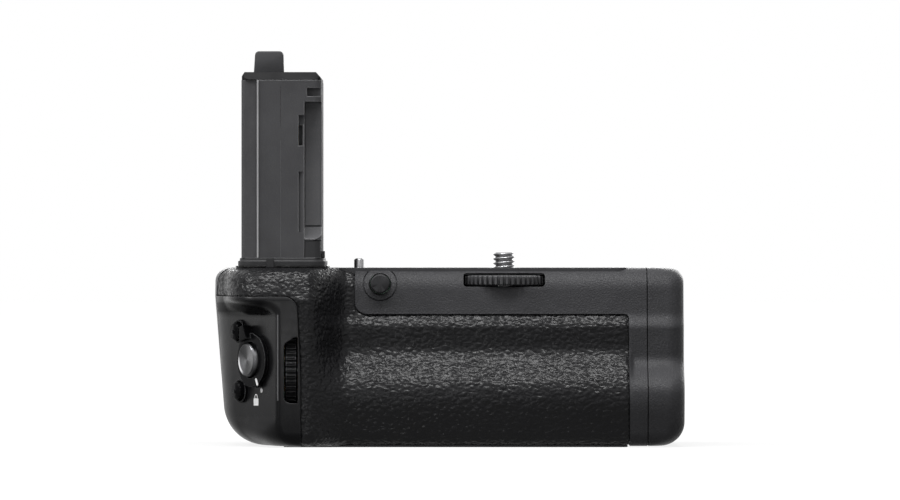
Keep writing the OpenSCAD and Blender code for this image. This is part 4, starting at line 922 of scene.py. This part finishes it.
# Cap of the tower, dark, with its tongue in the tower's grey
top = softened("tower_cap", 0.3)
bm = bmesh.new()
bm.from_mesh(top.data)
cut = bmesh.ops.bisect_plane(bm, geom=bm.verts[:] + bm.edges[:] + bm.faces[:], dist=1e-7, clear_outer=True,
                             plane_co=(0, 0, (TOWER_TOP + 0.01) * MM), plane_no=(0, 0, 1))
bmesh.ops.triangle_fill(bm, edges=[e for e in cut["geom_cut"] if isinstance(e, bmesh.types.BMEdge)])
bm.to_mesh(top.data)
bm.free()
top.data.materials[0] = CAP
bend_z = TOWER_TOP + TONGUE_H - TONGUE_R
sides = ([(TONGUE_X[0] - 0.35, TOWER_TOP - 0.3)]
         + quarter((TONGUE_X[0] + TONGUE_R, bend_z), TONGUE_R, 90)[::-1]
         + quarter((TONGUE_X[1] - TONGUE_R, bend_z), TONGUE_R, 0)[::-1]
         + [(TONGUE_X[1] + 0.15, TOWER_TOP - 0.3)])
tongue = kept(prism(sides, *TONGUE_Y, "Y"), "tower_tongue")
edge = tongue.modifiers.new("edge", "BEVEL")
edge.width, edge.segments, edge.limit_method = 0.35, 3, "ANGLE"
combine(tongue, "UNION")
done(tongue, TOWER, "housing")


# White marks: index on the lever, dot and padlock on the panel
def mark(name, outlines, height, body):
    verts, faces = [], []
    for pts in outlines:
        n, k = len(pts), len(verts)
        verts += [(u, v, height - 0.04) for u, v in pts] + [(u, v, height + 0.03) for u, v in pts]
        faces += [[k + i, k + (i + 1) % n, k + n + (i + 1) % n, k + n + i] for i in range(n)]
        faces += [list(range(k, k + n))[::-1], list(range(k + n, k + 2 * n))]
    ob = mesh_object(name, verts, faces)
    ob.data.transform(FLAT)
    return done(ob, WHITE, body)


def turned_rect(u, v, length, width, angle):
    c, s = math.cos(math.radians(angle)), math.sin(math.radians(angle))
    return [(u + a * c - b * s, v + a * s + b * c)
            for a, b in rounded(around(0, length / 2), around(0, width / 2), width * 0.45)]


LOCK_U, LOCK_V = 1.0, -11.4


def shackle_arc(width, height, start, end):
    return [(LOCK_U + width * math.cos(a), LOCK_V + 0.5 + height * math.sin(a))
            for a in np.linspace(start, end, 24)]


lock_body = rounded(around(LOCK_U, 1.4), (LOCK_V - 1.7, LOCK_V + 0.4), 0.25)
shackle = shackle_arc(0.95, 1.15, 0, math.pi) + shackle_arc(0.60, 0.80, math.pi, 0)
mark("lever_index", [turned_rect(4.1, -6.3, 2.3, 0.95, -57)], LEVER_TOP, "lever")
mark("lock_dot", [disc(4.2, -8.7, 0.68, 32)], 0.0, "housing")
mark("lock_sign", [lock_body, shackle], 0.0, "housing")

for ob in scratch:
    bpy.data.objects.remove(ob)


# Stage: pale floor, white surround and soft light
def seen_rays(tree):
    """1 for rays that show the surround itself: from the camera, off metal or through glass."""
    path = tree.nodes.new("ShaderNodeLightPath")
    socket = path.outputs["Is Camera Ray"]
    for kind in ("Is Glossy Ray", "Is Transmission Ray"):
        most = tree.nodes.new("ShaderNodeMath")
        most.operation = "MAXIMUM"
        tree.links.new(socket, most.inputs[0])
        tree.links.new(path.outputs[kind], most.inputs[1])
        socket = most.outputs[0]
    return socket


def floor_material():
    """Pale floor that grows white away from the object and keeps its shadow."""
    m = bpy.data.materials.new("floor_pale")
    m.use_nodes = True
    tree = m.node_tree
    tree.nodes.clear()
    coords = tree.nodes.new("ShaderNodeTexCoord")
    away = tree.nodes.new("ShaderNodeVectorMath")
    away.operation = "LENGTH"
    tree.links.new(coords.outputs["Object"], away.inputs[0])
    white = tree.nodes.new("ShaderNodeMapRange")
    white.interpolation_type = "SMOOTHSTEP"
    for i, v in zip((1, 2, 3, 4), (0.08, 0.32, 0.84, 1.0)):
        white.inputs[i].default_value = v
    tree.links.new(away.outputs["Value"], white.inputs[0])
    level = tree.nodes.new("ShaderNodeMath")
    level.operation = "MULTIPLY"
    tree.links.new(seen_rays(tree), level.inputs[0])
    tree.links.new(white.outputs[0], level.inputs[1])
    glow = tree.nodes.new("ShaderNodeEmission")
    tree.links.new(level.outputs[0], glow.inputs["Strength"])
    matte = tree.nodes.new("ShaderNodeBsdfDiffuse")
    matte.inputs["Color"].default_value = (0.10, 0.10, 0.10, 1)
    add = tree.nodes.new("ShaderNodeAddShader")
    tree.links.new(glow.outputs[0], add.inputs[0])
    tree.links.new(matte.outputs[0], add.inputs[1])
    out = tree.nodes.new("ShaderNodeOutputMaterial")
    tree.links.new(add.outputs[0], out.inputs["Surface"])
    return m


FLOOR = 6.0
floor_mesh = bpy.data.meshes.new("floor")
floor_mesh.from_pydata([(-FLOOR, -FLOOR, 0), (FLOOR, -FLOOR, 0), (FLOOR, FLOOR, 0), (-FLOOR, FLOOR, 0)], [],
                       [(0, 1, 2, 3)])
floor = bpy.data.objects.new("floor", floor_mesh)
floor_mesh.materials.append(floor_material())
scene.collection.objects.link(floor)


def surround():
    """Dim white light all round, which is seen as plain white."""
    world = bpy.data.worlds.new("surround")
    world.use_nodes = True
    tree = world.node_tree
    tree.nodes.clear()
    pick = tree.nodes.new("ShaderNodeMixShader")
    tree.links.new(seen_rays(tree), pick.inputs["Fac"])
    for i, strength in ((1, 0.04), (2, 1.0)):
        light = tree.nodes.new("ShaderNodeBackground")
        light.inputs["Color"].default_value = (1, 1, 1, 1)
        light.inputs["Strength"].default_value = strength
        tree.links.new(light.outputs[0], pick.inputs[i])
    out = tree.nodes.new("ShaderNodeOutputWorld")
    tree.links.new(pick.outputs[0], out.inputs["Surface"])
    return world


scene.world = surround()


def area(name, place, target, size, power):
    """Lamp with its place, target and size in metres."""
    light = bpy.data.lights.new(name, "AREA")
    light.shape = "RECTANGLE"
    light.size, light.size_y = size
    light.energy = power
    ob = bpy.data.objects.new(name, light)
    ob.location = place
    ob.rotation_euler = (Vector(target) - Vector(place)).to_track_quat("-Z", "Y").to_euler()
    scene.collection.objects.link(ob)


area("overhead", (0.0, -0.28, 1.17), (0, -0.02, 0.04), (0.90, 0.22), 20.0)
area("left_top", (-0.85, -0.25, 0.92), (-0.06, -0.02, 0.04), (0.3, 0.3), 9.0)
area("front", (0.0, -0.85, 1.00), (0, -0.02, 0.05), (1.60, 1.00), 7.0)
area("rear", (0.25, 1.30, 0.36), (0, 0, 0.05), (1.2, 0.4), 7.0)
area("low_front", (-0.052, -0.20, 0.026), (-0.052, 0, 0.026), (0.03, 0.025), 0.03)
area("left_front", (-1.0, -0.80, 0.28), (-0.04, 0, 0.04), (0.055, 0.8), 2.5)
area("left_rim", (-1.1, 0.62, 0.10), (-0.06, 0, 0.03), (0.4, 0.3), 0.2)
area("right_front", (1.0, -0.95, 0.45), (0.02, 0, 0.05), (0.15, 0.8), 0.6)

scene.view_settings.view_transform = "Standard"

# Camera: straight on the front, at the height of the photograph's middle
DISTANCE, SENSOR, VIEW_W = 2.2, 36, 0.2605
cam_data = bpy.data.cameras.new("camera")
cam_data.sensor_width = SENSOR
cam_data.lens = SENSOR * DISTANCE / VIEW_W
cam = bpy.data.objects.new("camera", cam_data)
cam.location = (-0.0001, -DISTANCE, 0.0565)
cam.rotation_euler = (math.radians(90), 0, 0)
scene.collection.objects.link(cam)
scene.camera = cam
